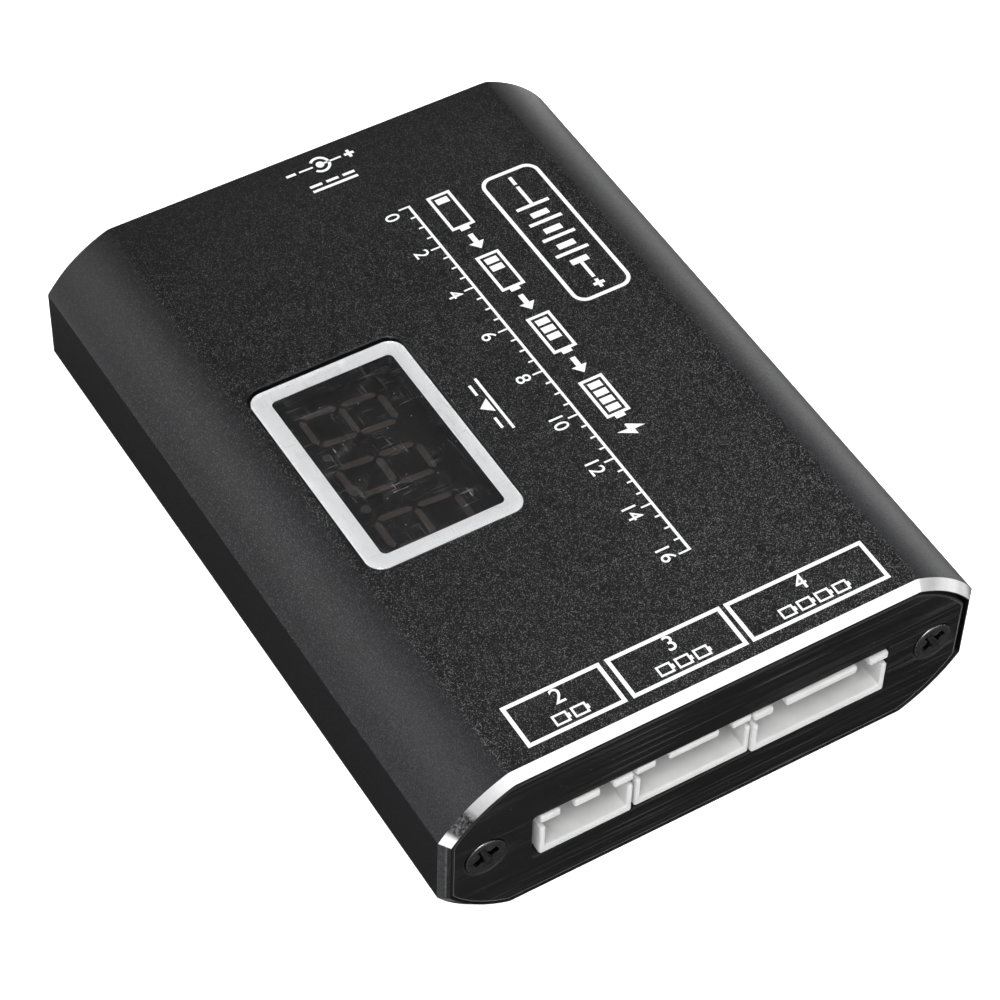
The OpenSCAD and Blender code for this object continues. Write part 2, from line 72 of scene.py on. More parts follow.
# ------------------------------------------------------------------ mesh tools
class Geo:
    """Vertices in mm, faces and their material indices."""

    def __init__(self):
        self.v, self.f, self.m = [], [], []

    def pts(self, points):
        start = len(self.v)
        self.v.extend(tuple(p) for p in points)
        return list(range(start, len(self.v)))

    def face(self, ids, mat=0):
        self.f.append(tuple(ids))
        self.m.append(mat)

    def bridge(self, a, b, mat=0, close=True):
        n = len(a)
        for i in range(n if close else n - 1):
            j = (i + 1) % n
            self.face((a[i], a[j], b[j], b[i]), mat)

    def loft(self, rings, mats=0, wrap=False, close=True):
        """Quads between successive rings of the same length."""
        ids = [self.pts(r) for r in rings]
        last = len(ids) if wrap else len(ids) - 1
        for k in range(last):
            mat = mats if isinstance(mats, int) else mats[k]
            self.bridge(ids[k], ids[(k + 1) % len(ids)], mat, close)
        return ids

    def fill(self, loops, flat, mat=0):
        """Flat face bounded by loops[0]; the other loops are holes. flat maps a vertex to 2-D."""
        ids = [i for loop in loops for i in loop]
        co = [Vector(flat(self.v[i])) for i in ids]
        edges, polys, k = [], [], 0
        for loop in loops:
            n = len(loop)
            edges += [(k + i, k + (i + 1) % n) for i in range(n)]
            polys.append(co[k:k + n])
            k += n
        _, _, tris, came_from, _, _ = delaunay_2d_cdt(co, edges, [], 1, 1e-7)
        back = [c[0] for c in came_from]
        for t in tris:
            c = (co[back[t[0]]] + co[back[t[1]]] + co[back[t[2]]]) / 3
            if inside(c, polys[0]) and not any(inside(c, p) for p in polys[1:]):
                self.face([ids[back[i]] for i in t], mat)

    def shift(self, start, matrix):
        for i in range(start, len(self.v)):
            self.v[i] = tuple(matrix @ Vector(self.v[i]))

    def add(self, other, matrix=None, mat=None):
        base = len(self.v)
        self.v.extend(tuple(matrix @ Vector(p)) if matrix else p for p in other.v)
        self.f.extend(tuple(i + base for i in f) for f in other.f)
        self.m.extend(other.m if mat is None else [mat] * len(other.m))


def inside(p, poly):
    hit, n = False, len(poly)
    for i in range(n):
        a, b = poly[i], poly[i - 1]
        if (a.y > p.y) != (b.y > p.y) and p.x < (b.x - a.x) * (p.y - a.y) / (b.y - a.y) + a.x:
            hit = not hit
    return hit


def tidy(mesh, sharp_deg=32):
    """Welds doubles, turns faces outwards, shades smooth with sharp edges kept."""
    bm = bmesh.new()
    bm.from_mesh(mesh)
    bmesh.ops.remove_doubles(bm, verts=bm.verts, dist=2e-7)
    bmesh.ops.dissolve_degenerate(bm, dist=1e-8, edges=bm.edges)
    bmesh.ops.recalc_face_normals(bm, faces=bm.faces)
    for f in bm.faces:
        f.smooth = True
    for e in bm.edges:
        if len(e.link_faces) == 2:
            e.smooth = e.calc_face_angle(0.0) < radians(sharp_deg)
    bm.to_mesh(mesh)
    bm.free()


def raw(geo, name):
    mesh = bpy.data.meshes.new(name)
    mesh.from_pydata([(x * MM, y * MM, z * MM) for x, y, z in geo.v], [], geo.f)
    mesh.polygons.foreach_set("material_index", geo.m)
    obj = bpy.data.objects.new(name, mesh)
    scene.collection.objects.link(obj)
    return obj


def bake_modifiers(obj):
    dg = bpy.context.evaluated_depsgraph_get()
    dg.update()
    mesh = bpy.data.meshes.new_from_object(obj.evaluated_get(dg))
    obj.modifiers.clear()
    old = obj.data
    obj.data = mesh
    mesh.name = obj.name
    bpy.data.meshes.remove(old)


def cut(obj, geo, op="DIFFERENCE"):
    """Boolean with a second closed shape."""
    tool = raw(geo, "cutter")
    tidy(tool.data)
    mod = obj.modifiers.new("cut", "BOOLEAN")
    mod.object, mod.operation, mod.solver = tool, op, "EXACT"
    bake_modifiers(obj)
    mesh = tool.data
    bpy.data.objects.remove(tool)
    bpy.data.meshes.remove(mesh)


def soften(obj, width, segments=3, angle=30):
    mod = obj.modifiers.new("edges", "BEVEL")
    mod.width, mod.segments = width * MM, segments
    mod.limit_method, mod.angle_limit = "ANGLE", radians(angle)
    mod.use_clamp_overlap = True
    bake_modifiers(obj)


def finish_piece(obj, mats, replaced=(), body="charger", sharp_deg=32):
    tidy(obj.data, sharp_deg)
    for m in mats[len(obj.data.materials):]:
        obj.data.materials.append(m)
    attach(obj, body)
    if replaced:
        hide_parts(*replaced)
    return obj


def piece(geo, name, mats, replaced=(), body="charger", sharp_deg=32):
    return finish_piece(raw(geo, name), mats, replaced, body, sharp_deg)


def circle(r, n, cx=0.0, cy=0.0, a0=0.0):
    return [(cx + r * cos(a0 + 2 * pi * i / n), cy + r * sin(a0 + 2 * pi * i / n)) for i in range(n)]


def round_rect(w, h, r, cx=0.0, cy=0.0, n=8):
    """Counter-clockwise loop of a rectangle with rounded corners."""
    r = max(r, 1e-3)
    out = []
    for k, (sx, sy) in enumerate(((1, 1), (-1, 1), (-1, -1), (1, -1))):
        x, y = cx + sx * (w / 2 - r), cy + sy * (h / 2 - r)
        for i in range(n + 1):
            a = k * pi / 2 + i * pi / 2 / n
            out.append((x + r * cos(a), y + r * sin(a)))
    return out


def box_geo(x0, x1, y0, y1, z0, z1, mat=0):
    g = Geo()
    a = g.pts([(x0, y0, z0), (x1, y0, z0), (x1, y1, z0), (x0, y1, z0)])
    b = g.pts([(x0, y0, z1), (x1, y0, z1), (x1, y1, z1), (x0, y1, z1)])
    g.face(a[::-1], mat)
    g.face(b, mat)
    g.bridge(a, b, mat)
    return g


def prism(loop, z0, z1, mat=0):
    g = Geo()
    a = g.pts([(x, y, z0) for x, y in loop])
    b = g.pts([(x, y, z1) for x, y in loop])
    g.bridge(a, b, mat)
    flat = lambda p: (p[0], p[1])
    g.fill([a], flat, mat)
    g.fill([b], flat, mat)
    return g


def lathe(profile, n=48, mat=0):
    """Solid of revolution about Z. profile is [(r, z)], starting and ending on the axis."""
    g = Geo()
    rings = []
    for r, z in profile:
        if r < 1e-6:
            rings.append(g.pts([(0, 0, z)]))
        else:
            rings.append(g.pts([(x, y, z) for x, y in circle(r, n)]))
    for a, b in zip(rings, rings[1:]):
        if len(a) == 1 and len(b) == 1:
            continue
        if len(a) == 1:
            for i in range(n):
                g.face((a[0], b[i], b[(i + 1) % n]), mat)
        elif len(b) == 1:
            for i in range(n):
                g.face((a[(i + 1) % n], a[i], b[0]), mat)
        else:
            g.bridge(a, b, mat)
    return g


def cells(xs, ys, zs, solid, mat=0):
    """Closed rectilinear solid on a grid of planes; solid(i, j, k) says which cells are filled."""
    g = Geo()
    seen = {}
    nx, ny, nz = len(xs) - 1, len(ys) - 1, len(zs) - 1

    def vid(i, j, k):
        if (i, j, k) not in seen:
            seen[(i, j, k)] = g.pts([(xs[i], ys[j], zs[k])])[0]
        return seen[(i, j, k)]

    def full(i, j, k):
        return 0 <= i < nx and 0 <= j < ny and 0 <= k < nz and solid(i, j, k)

    for i in range(nx):
        for j in range(ny):
            for k in range(nz):
                if not full(i, j, k):
                    continue
                if not full(i - 1, j, k):
                    g.face((vid(i, j, k), vid(i, j, k + 1), vid(i, j + 1, k + 1), vid(i, j + 1, k)), mat)
                if not full(i + 1, j, k):
                    g.face((vid(i + 1, j, k), vid(i + 1, j + 1, k), vid(i + 1, j + 1, k + 1), vid(i + 1, j, k + 1)), mat)
                if not full(i, j - 1, k):
                    g.face((vid(i, j, k), vid(i + 1, j, k), vid(i + 1, j, k + 1), vid(i, j, k + 1)), mat)
                if not full(i, j + 1, k):
                    g.face((vid(i, j + 1, k), vid(i, j + 1, k + 1), vid(i + 1, j + 1, k + 1), vid(i + 1, j + 1, k)), mat)
                if not full(i, j, k - 1):
                    g.face((vid(i, j, k), vid(i, j + 1, k), vid(i + 1, j + 1, k), vid(i + 1, j, k)), mat)
                if not full(i, j, k + 1):
                    g.face((vid(i, j, k + 1), vid(i + 1, j, k + 1), vid(i + 1, j + 1, k + 1), vid(i, j + 1, k + 1)), mat)
    return g


# ------------------------------------------------------------------ material tools
class Mat:
    """A small builder for node materials. Coordinates are object space in mm."""

    def __init__(self, name):
        self.mat = bpy.data.materials.new(name)
        self.mat.use_nodes = True
        self.nt = self.mat.node_tree
        self.nt.nodes.clear()
        self.out = self.node("ShaderNodeOutputMaterial")
        self.bsdf = self.node("ShaderNodeBsdfPrincipled")
        self.link(self.bsdf.outputs[0], self.out.inputs["Surface"])
        self.tc = self.node("ShaderNodeTexCoord")

    def node(self, kind, **props):
        n = self.nt.nodes.new(kind)
        for k, v in props.items():
            setattr(n, k, v)
        return n

    def link(self, a, b):
        self.nt.links.new(a, b)

    def put(self, **values):
        for k, v in values.items():
            self.bsdf.inputs[k.replace("_", " ")].default_value = v
        return self

    def coords(self, scale=(1, 1, 1), rot=(0, 0, 0)):
        """Object coordinates in mm, stretched by scale after rotation."""
        m = self.node("ShaderNodeMapping")
        m.inputs["Scale"].default_value = tuple(1000.0 * s for s in scale)
        m.inputs["Rotation"].default_value = rot
        self.link(self.tc.outputs["Object"], m.inputs["Vector"])
        return m.outputs[0]

    def noise(self, scale, detail=2.0, rough=0.5, vec=None, dist=0.0, dims="3D"):
        n = self.node("ShaderNodeTexNoise", noise_dimensions=dims)
        n.inputs["Scale"].default_value = scale
        n.inputs["Detail"].default_value = detail
        n.inputs["Roughness"].default_value = rough
        n.inputs["Distortion"].default_value = dist
        self.link(vec or self.coords(), n.inputs["Vector"])
        return n.outputs["Fac"]

    def voronoi(self, scale, out="Color", vec=None, feature="F1", rand=1.0):
        n = self.node("ShaderNodeTexVoronoi", feature=feature)
        n.inputs["Scale"].default_value = scale
        n.inputs["Randomness"].default_value = rand
        self.link(vec or self.coords(), n.inputs["Vector"])
        return n.outputs[out]

    def ramp(self, fac, stops, interp="LINEAR"):
        n = self.node("ShaderNodeValToRGB")
        n.color_ramp.interpolation = interp
        el = n.color_ramp.elements
        while len(el) > 1:
            el.remove(el[-1])
        for i, (p, c) in enumerate(stops):
            e = el[0] if i == 0 else el.new(p)
            e.position = p
            c = (c, c, c) if isinstance(c, (int, float)) else c
            e.color = (c[0], c[1], c[2], 1.0)
        self.link(fac, n.inputs["Fac"])
        return n.outputs["Color"]

    def mix(self, fac, a, b, mode="MIX"):
        n = self.node("ShaderNodeMix", data_type="RGBA", blend_type=mode, clamp_factor=True)
        for k, val in ((0, fac), (6, a), (7, b)):
            if isinstance(val, (int, float)):
                n.inputs[k].default_value = val if k == 0 else (val, val, val, 1)
            elif isinstance(val, tuple):
                n.inputs[k].default_value = (*val[:3], 1)
            else:
                self.link(val, n.inputs[k])
        return n.outputs[2]

    def math(self, op, a, b=0.0, clamp=False):
        n = self.node("ShaderNodeMath", operation=op, use_clamp=clamp)
        for sock, val in ((n.inputs[0], a), (n.inputs[1], b)):
            if isinstance(val, (int, float)):
                sock.default_value = val
            else:
                self.link(val, sock)
        return n.outputs[0]

    def remap(self, fac, lo, hi, to_lo, to_hi):
        n = self.node("ShaderNodeMapRange")
        n.inputs["From Min"].default_value = lo
        n.inputs["From Max"].default_value = hi
        n.inputs["To Min"].default_value = to_lo
        n.inputs["To Max"].default_value = to_hi
        self.link(fac, n.inputs["Value"])
        return n.outputs["Result"]

    def axis(self, which):
        """One object coordinate, in mm."""
        s = self.node("ShaderNodeSeparateXYZ")
        self.link(self.coords(), s.inputs[0])
        return s.outputs[which]

    def normal_axis(self, which):
        """One component of the surface normal in object space."""
        s = self.node("ShaderNodeSeparateXYZ")
        self.link(self.tc.outputs["Normal"], s.inputs[0])
        return s.outputs[which]

    def bump(self, height, strength=0.3, dist_mm=0.05, after=None):
        n = self.node("ShaderNodeBump")
        n.inputs["Strength"].default_value = strength
        n.inputs["Distance"].default_value = dist_mm * MM
        self.link(height, n.inputs["Height"])
        if after is not None:
            self.link(after, n.inputs["Normal"])
        return n.outputs["Normal"]

    def use(self, color=None, rough=None, normal=None, metal=None, **more):
        for sock, val in (("Base Color", color), ("Roughness", rough), ("Normal", normal), ("Metallic", metal)):
            if val is not None:
                self.link(val, self.bsdf.inputs[sock])
        for k, v in more.items():
            self.link(v, self.bsdf.inputs[k.replace("_", " ")])
        return self.mat


def anodised():
    """Black anodise over a bead-blast surface: crystalline grain, strongest on the flats, with its glints painted into
    the colour as bright grains, and painted shade on the upright sides.
    """
    m = Mat("black_anodised").put(Metallic=0.0, IOR=1.5)
    m.bsdf.inputs["Specular IOR Level"].default_value = 0.4
    grain = m.voronoi(13.5, "Color")
    fine = m.noise(6.0, 1.0, 0.5)
    mid = m.noise(3.2, 3.0, 0.6)
    # painted glints: each grain faces its own way, so most grains are painted dark and some painted bright as if they
    # caught the light
    flat_grain_glints = m.ramp(grain, [(0.3, 0.0003), (0.60, 0.0015), (0.70, 0.006), (0.78, 0.10), (0.88, 0.21)])
    shoulder_grain_glints = m.ramp(grain, [(0.2, (0.002, 0.002, 0.0024)), (0.5, (0.007, 0.007, 0.0082)), (0.68, (0.017, 0.0168, 0.0205)), (0.85, (0.036, 0.0355, 0.041))])
    crisp_grain_glints = m.ramp(grain, [(0.3, (0.0005, 0.0005, 0.0006)), (0.6, (0.0025, 0.0025, 0.003)), (0.74, (0.02, 0.0198, 0.0235)), (0.88, (0.08, 0.079, 0.091))])
    band = m.math("MULTIPLY", m.remap(m.axis(1), -30.0, -8.0, 0.0, 1.0), m.remap(m.axis(1), 18.0, 36.0, 1.0, 0.0))
    shoulder_grain_glints = m.mix(band, shoulder_grain_glints, crisp_grain_glints)
    up = m.math("ABSOLUTE", m.normal_axis(2))
    flat = m.ramp(up, [(0.90, 0.0), (0.975, 1.0)])
    outer = m.remap(m.math("ABSOLUTE", m.math("SUBTRACT", m.axis(2), 10.0)), 9.5, 9.7, 0.0, 1.0)
    flat = m.math("MULTIPLY", flat, outer)
    # towards the inlet end the painted glints on the flat fade into an even, lighter grey
    flat_grain_glints = m.mix(m.remap(m.axis(1), 20.0, 38.0, 0.0, 0.72), flat_grain_glints, (0.0145, 0.0145, 0.015))
    col = m.mix(flat, shoulder_grain_glints, flat_grain_glints)
    # a broken lighter line where the flat turns into the shoulder, fading towards the inlet end
    edge = m.ramp(up, [(0.955, 0.0), (0.972, 1.0), (0.988, 0.0)])
    kink_line = m.math("MULTIPLY", edge, m.ramp(m.noise(2.2, 4.0, 0.7), [(0.46, 0.0), (0.68, 0.9)]))
    kink_line = m.math("MULTIPLY", kink_line, m.remap(m.axis(1), -38.0, -8.0, 1.0, 0.12))
    col = m.mix(kink_line, col, (0.10, 0.10, 0.105))
    wide = m.ramp(m.noise(0.05, 2.0), [(0.3, 0.9), (0.7, 1.1)])
    col = m.mix(1.0, col, wide, "MULTIPLY")
    # painted shade: darker on the left of the top and, down to a quarter, on the upright sides, where less light falls;
    # the case is also darker towards the inlet end and 8 % lighter overall
    col = m.mix(1.0, col, m.ramp(m.remap(m.axis(0), -24.0, 16.0, 0.0, 1.0), [(0.0, 0.74), (1.0, 1.0)]), "MULTIPLY")
    col = m.mix(1.0, col, m.ramp(m.remap(m.axis(1), -36.0, 20.0, 0.0, 1.0), [(0.0, 1.0), (1.0, 0.72)]), "MULTIPLY")
    col = m.mix(1.0, col, (1.08, 1.08, 1.08), "MULTIPLY")
    col = m.mix(1.0, col, m.ramp(up, [(0.05, 0.25), (0.3, 1.0)]), "MULTIPLY")
    rough = m.mix(flat, m.ramp(mid, [(0.3, 0.38), (0.7, 0.45)]), m.ramp(mid, [(0.3, 0.50), (0.7, 0.55)]))
    n1 = m.bump(fine, 0.45, 0.03)
    n2 = m.bump(mid, 0.06, 0.05, n1)
    return m.use(col, rough, n2)


def bright_cut():
    """Diamond-cut rim with painted light: its brightness is set by the tilt of each face, with a painted dark band and
    painted dark mottling near the ridge on the left, painted highlight lines on the upright parts and painted shade at
    the right end.
    """
    m = Mat("bright_cut_rim").put(Metallic=1.0)
    up = m.math("ABSOLUTE", m.normal_axis(2))
    # painted light: brightness by the tilt of each face, light where the cut would mirror the lamps and a dark band
    # near the ridge where it would mirror dark surroundings
    tone = m.ramp(up, [(0.0, 0.46), (0.30, 0.5), (0.37, 0.80), (0.435, 0.9), (0.455, 0.24), (0.52, 0.2), (0.55, 0.5), (0.62, 0.68), (0.68, 0.9)])
    # painted dark reflection: mottled darkening on the left near the ridge
    painted_dark_mottle = m.ramp(m.noise(3.4, 4.0, 0.65), [(0.36, 0.08), (0.5, 0.35), (0.66, 0.95)])
    where = m.ramp(up, [(0.445, 0.0), (0.46, 1.0), (0.525, 1.0), (0.55, 0.0)])
    left = m.remap(m.axis(0), -1.0, 1.0, 1.0, 0.0)
    where = m.math("MULTIPLY", where, left)
    # painted light for the right half, again by tilt
    right_tone = m.ramp(up, [(0.0, 0.42), (0.33, 0.5), (0.40, 0.62), (0.46, 0.5), (0.49, 0.44), (0.52, 0.56), (0.62, 0.66), (0.68, 0.92)])
    tone = m.mix(left, right_tone, tone)
    tone = m.mix(where, tone, m.mix(1.0, tone, painted_dark_mottle, "MULTIPLY"))
    # on the upright parts: painted highlight lines at the cut's outer edge and across its middle, a painted darker
    # strip along its inner part, and random scuffing
    along = m.remap(m.math("ABSOLUTE", m.axis(1)), 39.12, 40.0, 0.0, 1.0)
    strip = m.ramp(along, [(0.0, 1.5), (0.05, 1.0), (0.55, 0.95), (0.60, 1.7), (0.68, 1.7), (0.73, 0.5), (1.0, 0.4)])
    scuff = m.ramp(m.noise(2.0, 4.0, 0.7), [(0.3, 0.55), (0.7, 1.25)])
    side = m.ramp(up, [(0.25, 1.0), (0.33, 0.0)])
    tone = m.mix(side, tone, m.mix(1.0, m.mix(1.0, tone, strip, "MULTIPLY"), scuff, "MULTIPLY"))
    # painted shade: the rim darkens at the far right end
    tone = m.mix(1.0, tone, m.ramp(m.remap(m.axis(0), 20.0, 30.0, 0.0, 1.0), [(0.0, 1.0), (0.83, 1.0), (0.9, 0.4)]), "MULTIPLY")
    tooling = m.noise(1.0, 2.0, 0.5, m.coords((2.2, 0.4, 2.2)))
    col = m.mix(1.0, tone, m.ramp(tooling, [(0.3, 0.97), (0.7, 1.02)]), "MULTIPLY")
    rough = m.remap(m.noise(0.6, 2.0), 0.3, 0.7, 0.29, 0.35)
    return m.use(col, rough, m.bump(tooling, 0.02, 0.004))


def brushed():
    """Black anodised sheet, brushed along X, with stray brighter lines."""
    m = Mat("black_brushed").put(Metallic=0.0, IOR=1.5, Anisotropic=0.6)
    m.bsdf.inputs["Specular IOR Level"].default_value = 0.28
    lines = m.noise(1.0, 1.0, 0.6, m.coords((0.04, 1.0, 7.0)))
    broad = m.noise(1.0, 2.0, 0.5, m.coords((0.03, 1.0, 1.6)))
    stray = m.noise(1.0, 0.0, 0.5, m.coords((0.06, 1.0, 6.0)))
    base = m.ramp(lines, [(0.3, 0.001), (0.46, 0.0025), (0.56, 0.005), (0.68, 0.013), (0.8, 0.026)])
    col = m.mix(m.ramp(stray, [(0.66, 0.0), (0.74, 0.8)]), base, (0.045, 0.045, 0.045))
    col = m.mix(m.remap(m.axis(0), -32.0, 0.0, 0.7, 0.0), col, (0.0065, 0.0065, 0.0065))
    col = m.mix(1.0, col, m.ramp(broad, [(0.35, 0.94), (0.65, 1.06)]), "MULTIPLY")
    near = m.ramp(m.voronoi(1.3, "Distance"), [(0.03, 1.0), (0.055, 0.0)])
    pick = m.ramp(m.voronoi(1.3, "Color"), [(0.8, 0.0), (0.83, 1.0)])
    col = m.mix(m.math("MULTIPLY", near, pick), col, (0.2, 0.2, 0.2))
    rough = m.remap(lines, 0.3, 0.7, 0.42, 0.48)
    return m.use(col, rough, m.bump(lines, 0.04, 0.012))


def worn_edge():
    """Broken edge of the plate: lighter grey along the bottom and towards the right."""
    m = Mat("plate_edge").put(Metallic=0.0, IOR=1.5)
    lighter_mask = m.remap(m.axis(2), 16.5, 12.0, 0.0, 1.0)
    lighter_mask = m.math("MULTIPLY", lighter_mask, m.remap(m.axis(0), -28.0, -20.0, 0.45, 1.0))
    patchy = m.ramp(m.noise(1.6, 4.0, 0.6), [(0.3, 0.55), (0.7, 1.0)])
    col = m.mix(m.math("MULTIPLY", lighter_mask, patchy), (0.005, 0.005, 0.005), (0.14, 0.14, 0.142))
    return m.use(col, m.remap(patchy, 0.5, 1.0, 0.35, 0.5))


def nylon():
    m = Mat("white_nylon").put(Metallic=0.0, IOR=1.53, Subsurface_Weight=0.1, Subsurface_Scale=0.0005)
    m.bsdf.inputs["Subsurface Radius"].default_value = (1.0, 0.95, 0.85)
    cloud = m.noise(0.5, 3.0, 0.55)
    col = m.ramp(cloud, [(0.3, (0.44, 0.44, 0.438)), (0.7, (0.49, 0.49, 0.487))])
    near = m.ramp(m.voronoi(0.9, "Distance"), [(0.03, 0.8), (0.05, 0.0)])
    pick = m.ramp(m.voronoi(0.9, "Color"), [(0.86, 0.0), (0.88, 1.0)])
    col = m.mix(m.math("MULTIPLY", near, pick), col, (0.1, 0.09, 0.085))
    rough = m.remap(m.noise(4.0, 2.0), 0.3, 0.7, 0.38, 0.5)
    return m.use(col, rough, m.bump(m.noise(6.0, 2.0), 0.08, 0.02))


def plated(name, a, b, rough=(0.25, 0.4)):
    m = Mat(name).put(Metallic=1.0)
    t = m.noise(2.2, 4.0, 0.6)
    col = m.ramp(t, [(0.3, a), (0.7, b)])
    r = m.remap(m.noise(5.0, 3.0), 0.3, 0.7, *rough)
    return m.use(col, r, m.bump(t, 0.06, 0.02))


def moulding(name, a, b, rough=(0.42, 0.58), grain=5.0, depth=0.02):
    m = Mat(name).put(Metallic=0.0, IOR=1.5)
    t = m.noise(1.3, 4.0, 0.6)
    col = m.ramp(t, [(0.3, a), (0.7, b)])
    g = m.noise(grain, 3.0, 0.6)
    r = m.remap(g, 0.3, 0.7, *rough)
    return m.use(col, r, m.bump(g, 0.2, depth))


def acrylic():
    """Clear lens with hairline scratches and grit on its face."""
    m = Mat("clear_acrylic").put(Metallic=0.0, IOR=1.49)
    lines = None
    for sx, sy, turn, lo in ((9.0, 0.4, 24, 0.76), (0.35, 9.0, -17, 0.76), (0.3, 8.0, 31, 0.76), (8.0, 0.35, 52, 0.77), (0.5, 9.0, 8, 0.76)):
        n = m.noise(1.0, 0.0, 0.5, m.coords((sx, sy, 1.0), (0, 0, radians(turn))))
        hair = m.ramp(n, [(lo, 0.0), (lo + 0.05, 1.0)])
        lines = hair if lines is None else m.math("MAXIMUM", lines, hair)
    patch = m.ramp(m.noise(0.3, 2.0), [(0.42, 0.03), (0.7, 0.6)])
    lines = m.math("MULTIPLY", lines, patch)
    grit = m.math("MULTIPLY", m.ramp(m.voronoi(1.5, "Distance"), [(0.05, 0.7), (0.1, 0.0)]),
                  m.ramp(m.voronoi(1.5, "Color"), [(0.68, 0.0), (0.76, 1.0)]))
    marks = m.math("MAXIMUM", lines, grit, True)
    rough = m.remap(marks, 0.0, 1.0, 0.02, 0.5)
    trans = m.remap(marks, 0.0, 1.0, 1.0, 0.66)
    col = m.mix(marks, (1.0, 1.0, 1.0), (0.93, 0.93, 0.93))
    return m.use(col, rough, m.bump(lines, 0.05, 0.01), Transmission_Weight=trans)


def ink():
    m = Mat("white_ink").put(Metallic=0.0, IOR=1.45)
    t = m.noise(6.0, 3.0, 0.6)
    col = m.ramp(t, [(0.25, (0.86, 0.86, 0.86)), (0.5, (0.93, 0.93, 0.93)), (0.75, (0.95, 0.95, 0.95))])
    return m.use(col, m.remap(t, 0.3, 0.7, 0.45, 0.6), m.bump(t, 0.08, 0.01))


def border():
    m = Mat("white_border").put(Metallic=0.0, IOR=1.45)
    t = m.noise(1.5, 3.0, 0.55)
    col = m.ramp(t, [(0.3, (0.95, 0.955, 0.965)), (0.7, (0.975, 0.978, 0.985))])
    return m.use(col, m.remap(t, 0.3, 0.7, 0.5, 0.65))


def board():
    """Green solder mask over copper tracks."""
    m = Mat("green_board").put(Metallic=0.0, IOR=1.5)
    brick = m.node("ShaderNodeTexBrick")
    brick.inputs["Scale"].default_value = 1.0
    brick.inputs["Mortar Size"].default_value = 0.12
    brick.inputs["Brick Width"].default_value = 5.0
    brick.inputs["Row Height"].default_value = 1.3
    brick.inputs["Color1"].default_value = (0.012, 0.075, 0.035, 1)
    brick.inputs["Color2"].default_value = (0.016, 0.095, 0.045, 1)
    brick.inputs["Mortar"].default_value = (0.03, 0.17, 0.075, 1)
    m.link(m.coords(), brick.inputs["Vector"])
    via = m.ramp(m.voronoi(0.35, "Distance"), [(0.09, 1.0), (0.11, 0.0)])
    col = m.mix(via, brick.outputs["Color"], (0.5, 0.45, 0.32))
    weave = m.noise(3.0, 3.0, 0.6)
    return m.use(col, m.remap(weave, 0.3, 0.7, 0.3, 0.42), m.bump(brick.outputs["Fac"], 0.2, 0.02))


def film():
    m = Mat("amber_film").put(Metallic=0.0, IOR=1.55)
    t = m.noise(0.4, 4.0, 0.6)
    col = m.ramp(t, [(0.3, (0.42, 0.22, 0.04)), (0.7, (0.6, 0.36, 0.09))])
    return m.use(col, m.remap(t, 0.3, 0.7, 0.2, 0.35), m.bump(t, 0.1, 0.05))


def face_black():
    m = Mat("display_black").put(Metallic=0.0, IOR=1.45)
    t = m.noise(3.0, 4.0, 0.6)
    col = m.ramp(t, [(0.3, 0.004), (0.7, 0.007)])
    return m.use(col, m.remap(t, 0.3, 0.7, 0.4, 0.55), m.bump(t, 0.1, 0.02))


def resin():
    m = Mat("segment_brown").put(Metallic=0.0, IOR=1.5)
    t = m.noise(2.5, 3.0, 0.6)
    col = m.ramp(t, [(0.3, (0.042, 0.032, 0.027)), (0.7, (0.056, 0.043, 0.037))])
    return m.use(col, m.remap(t, 0.3, 0.7, 0.42, 0.56), m.bump(t, 0.08, 0.02))


def winding():
    """Enamelled copper wire: turns show as fine rings."""
    m = Mat("copper_wire").put(Metallic=1.0)
    w = m.node("ShaderNodeTexWave", wave_type="BANDS", bands_direction="Z")
    w.inputs["Scale"].default_value = 3.5
    w.inputs["Distortion"].default_value = 0.4
    m.link(m.coords(), w.inputs["Vector"])
    col = m.ramp(w.outputs["Fac"], [(0.1, (0.28, 0.1, 0.04)), (0.6, (0.72, 0.32, 0.14))])
    return m.use(col, m.remap(m.noise(4.0), 0.3, 0.7, 0.22, 0.36), m.bump(w.outputs["Fac"], 0.3, 0.05))


def can():
    """Sleeved capacitor with a bright top."""
    m = Mat("capacitor_can").put(IOR=1.5)
    up = m.remap(m.axis(2), 17.2, 17.25, 0.0, 1.0)
    t = m.noise(1.0, 3.0)
    sleeve = m.ramp(t, [(0.3, (0.012, 0.02, 0.05)), (0.7, (0.02, 0.032, 0.075))])
    col = m.mix(up, sleeve, (0.72, 0.72, 0.73))
    return m.use(col, m.remap(t, 0.3, 0.7, 0.25, 0.4), m.bump(t, 0.05, 0.02), metal=up)


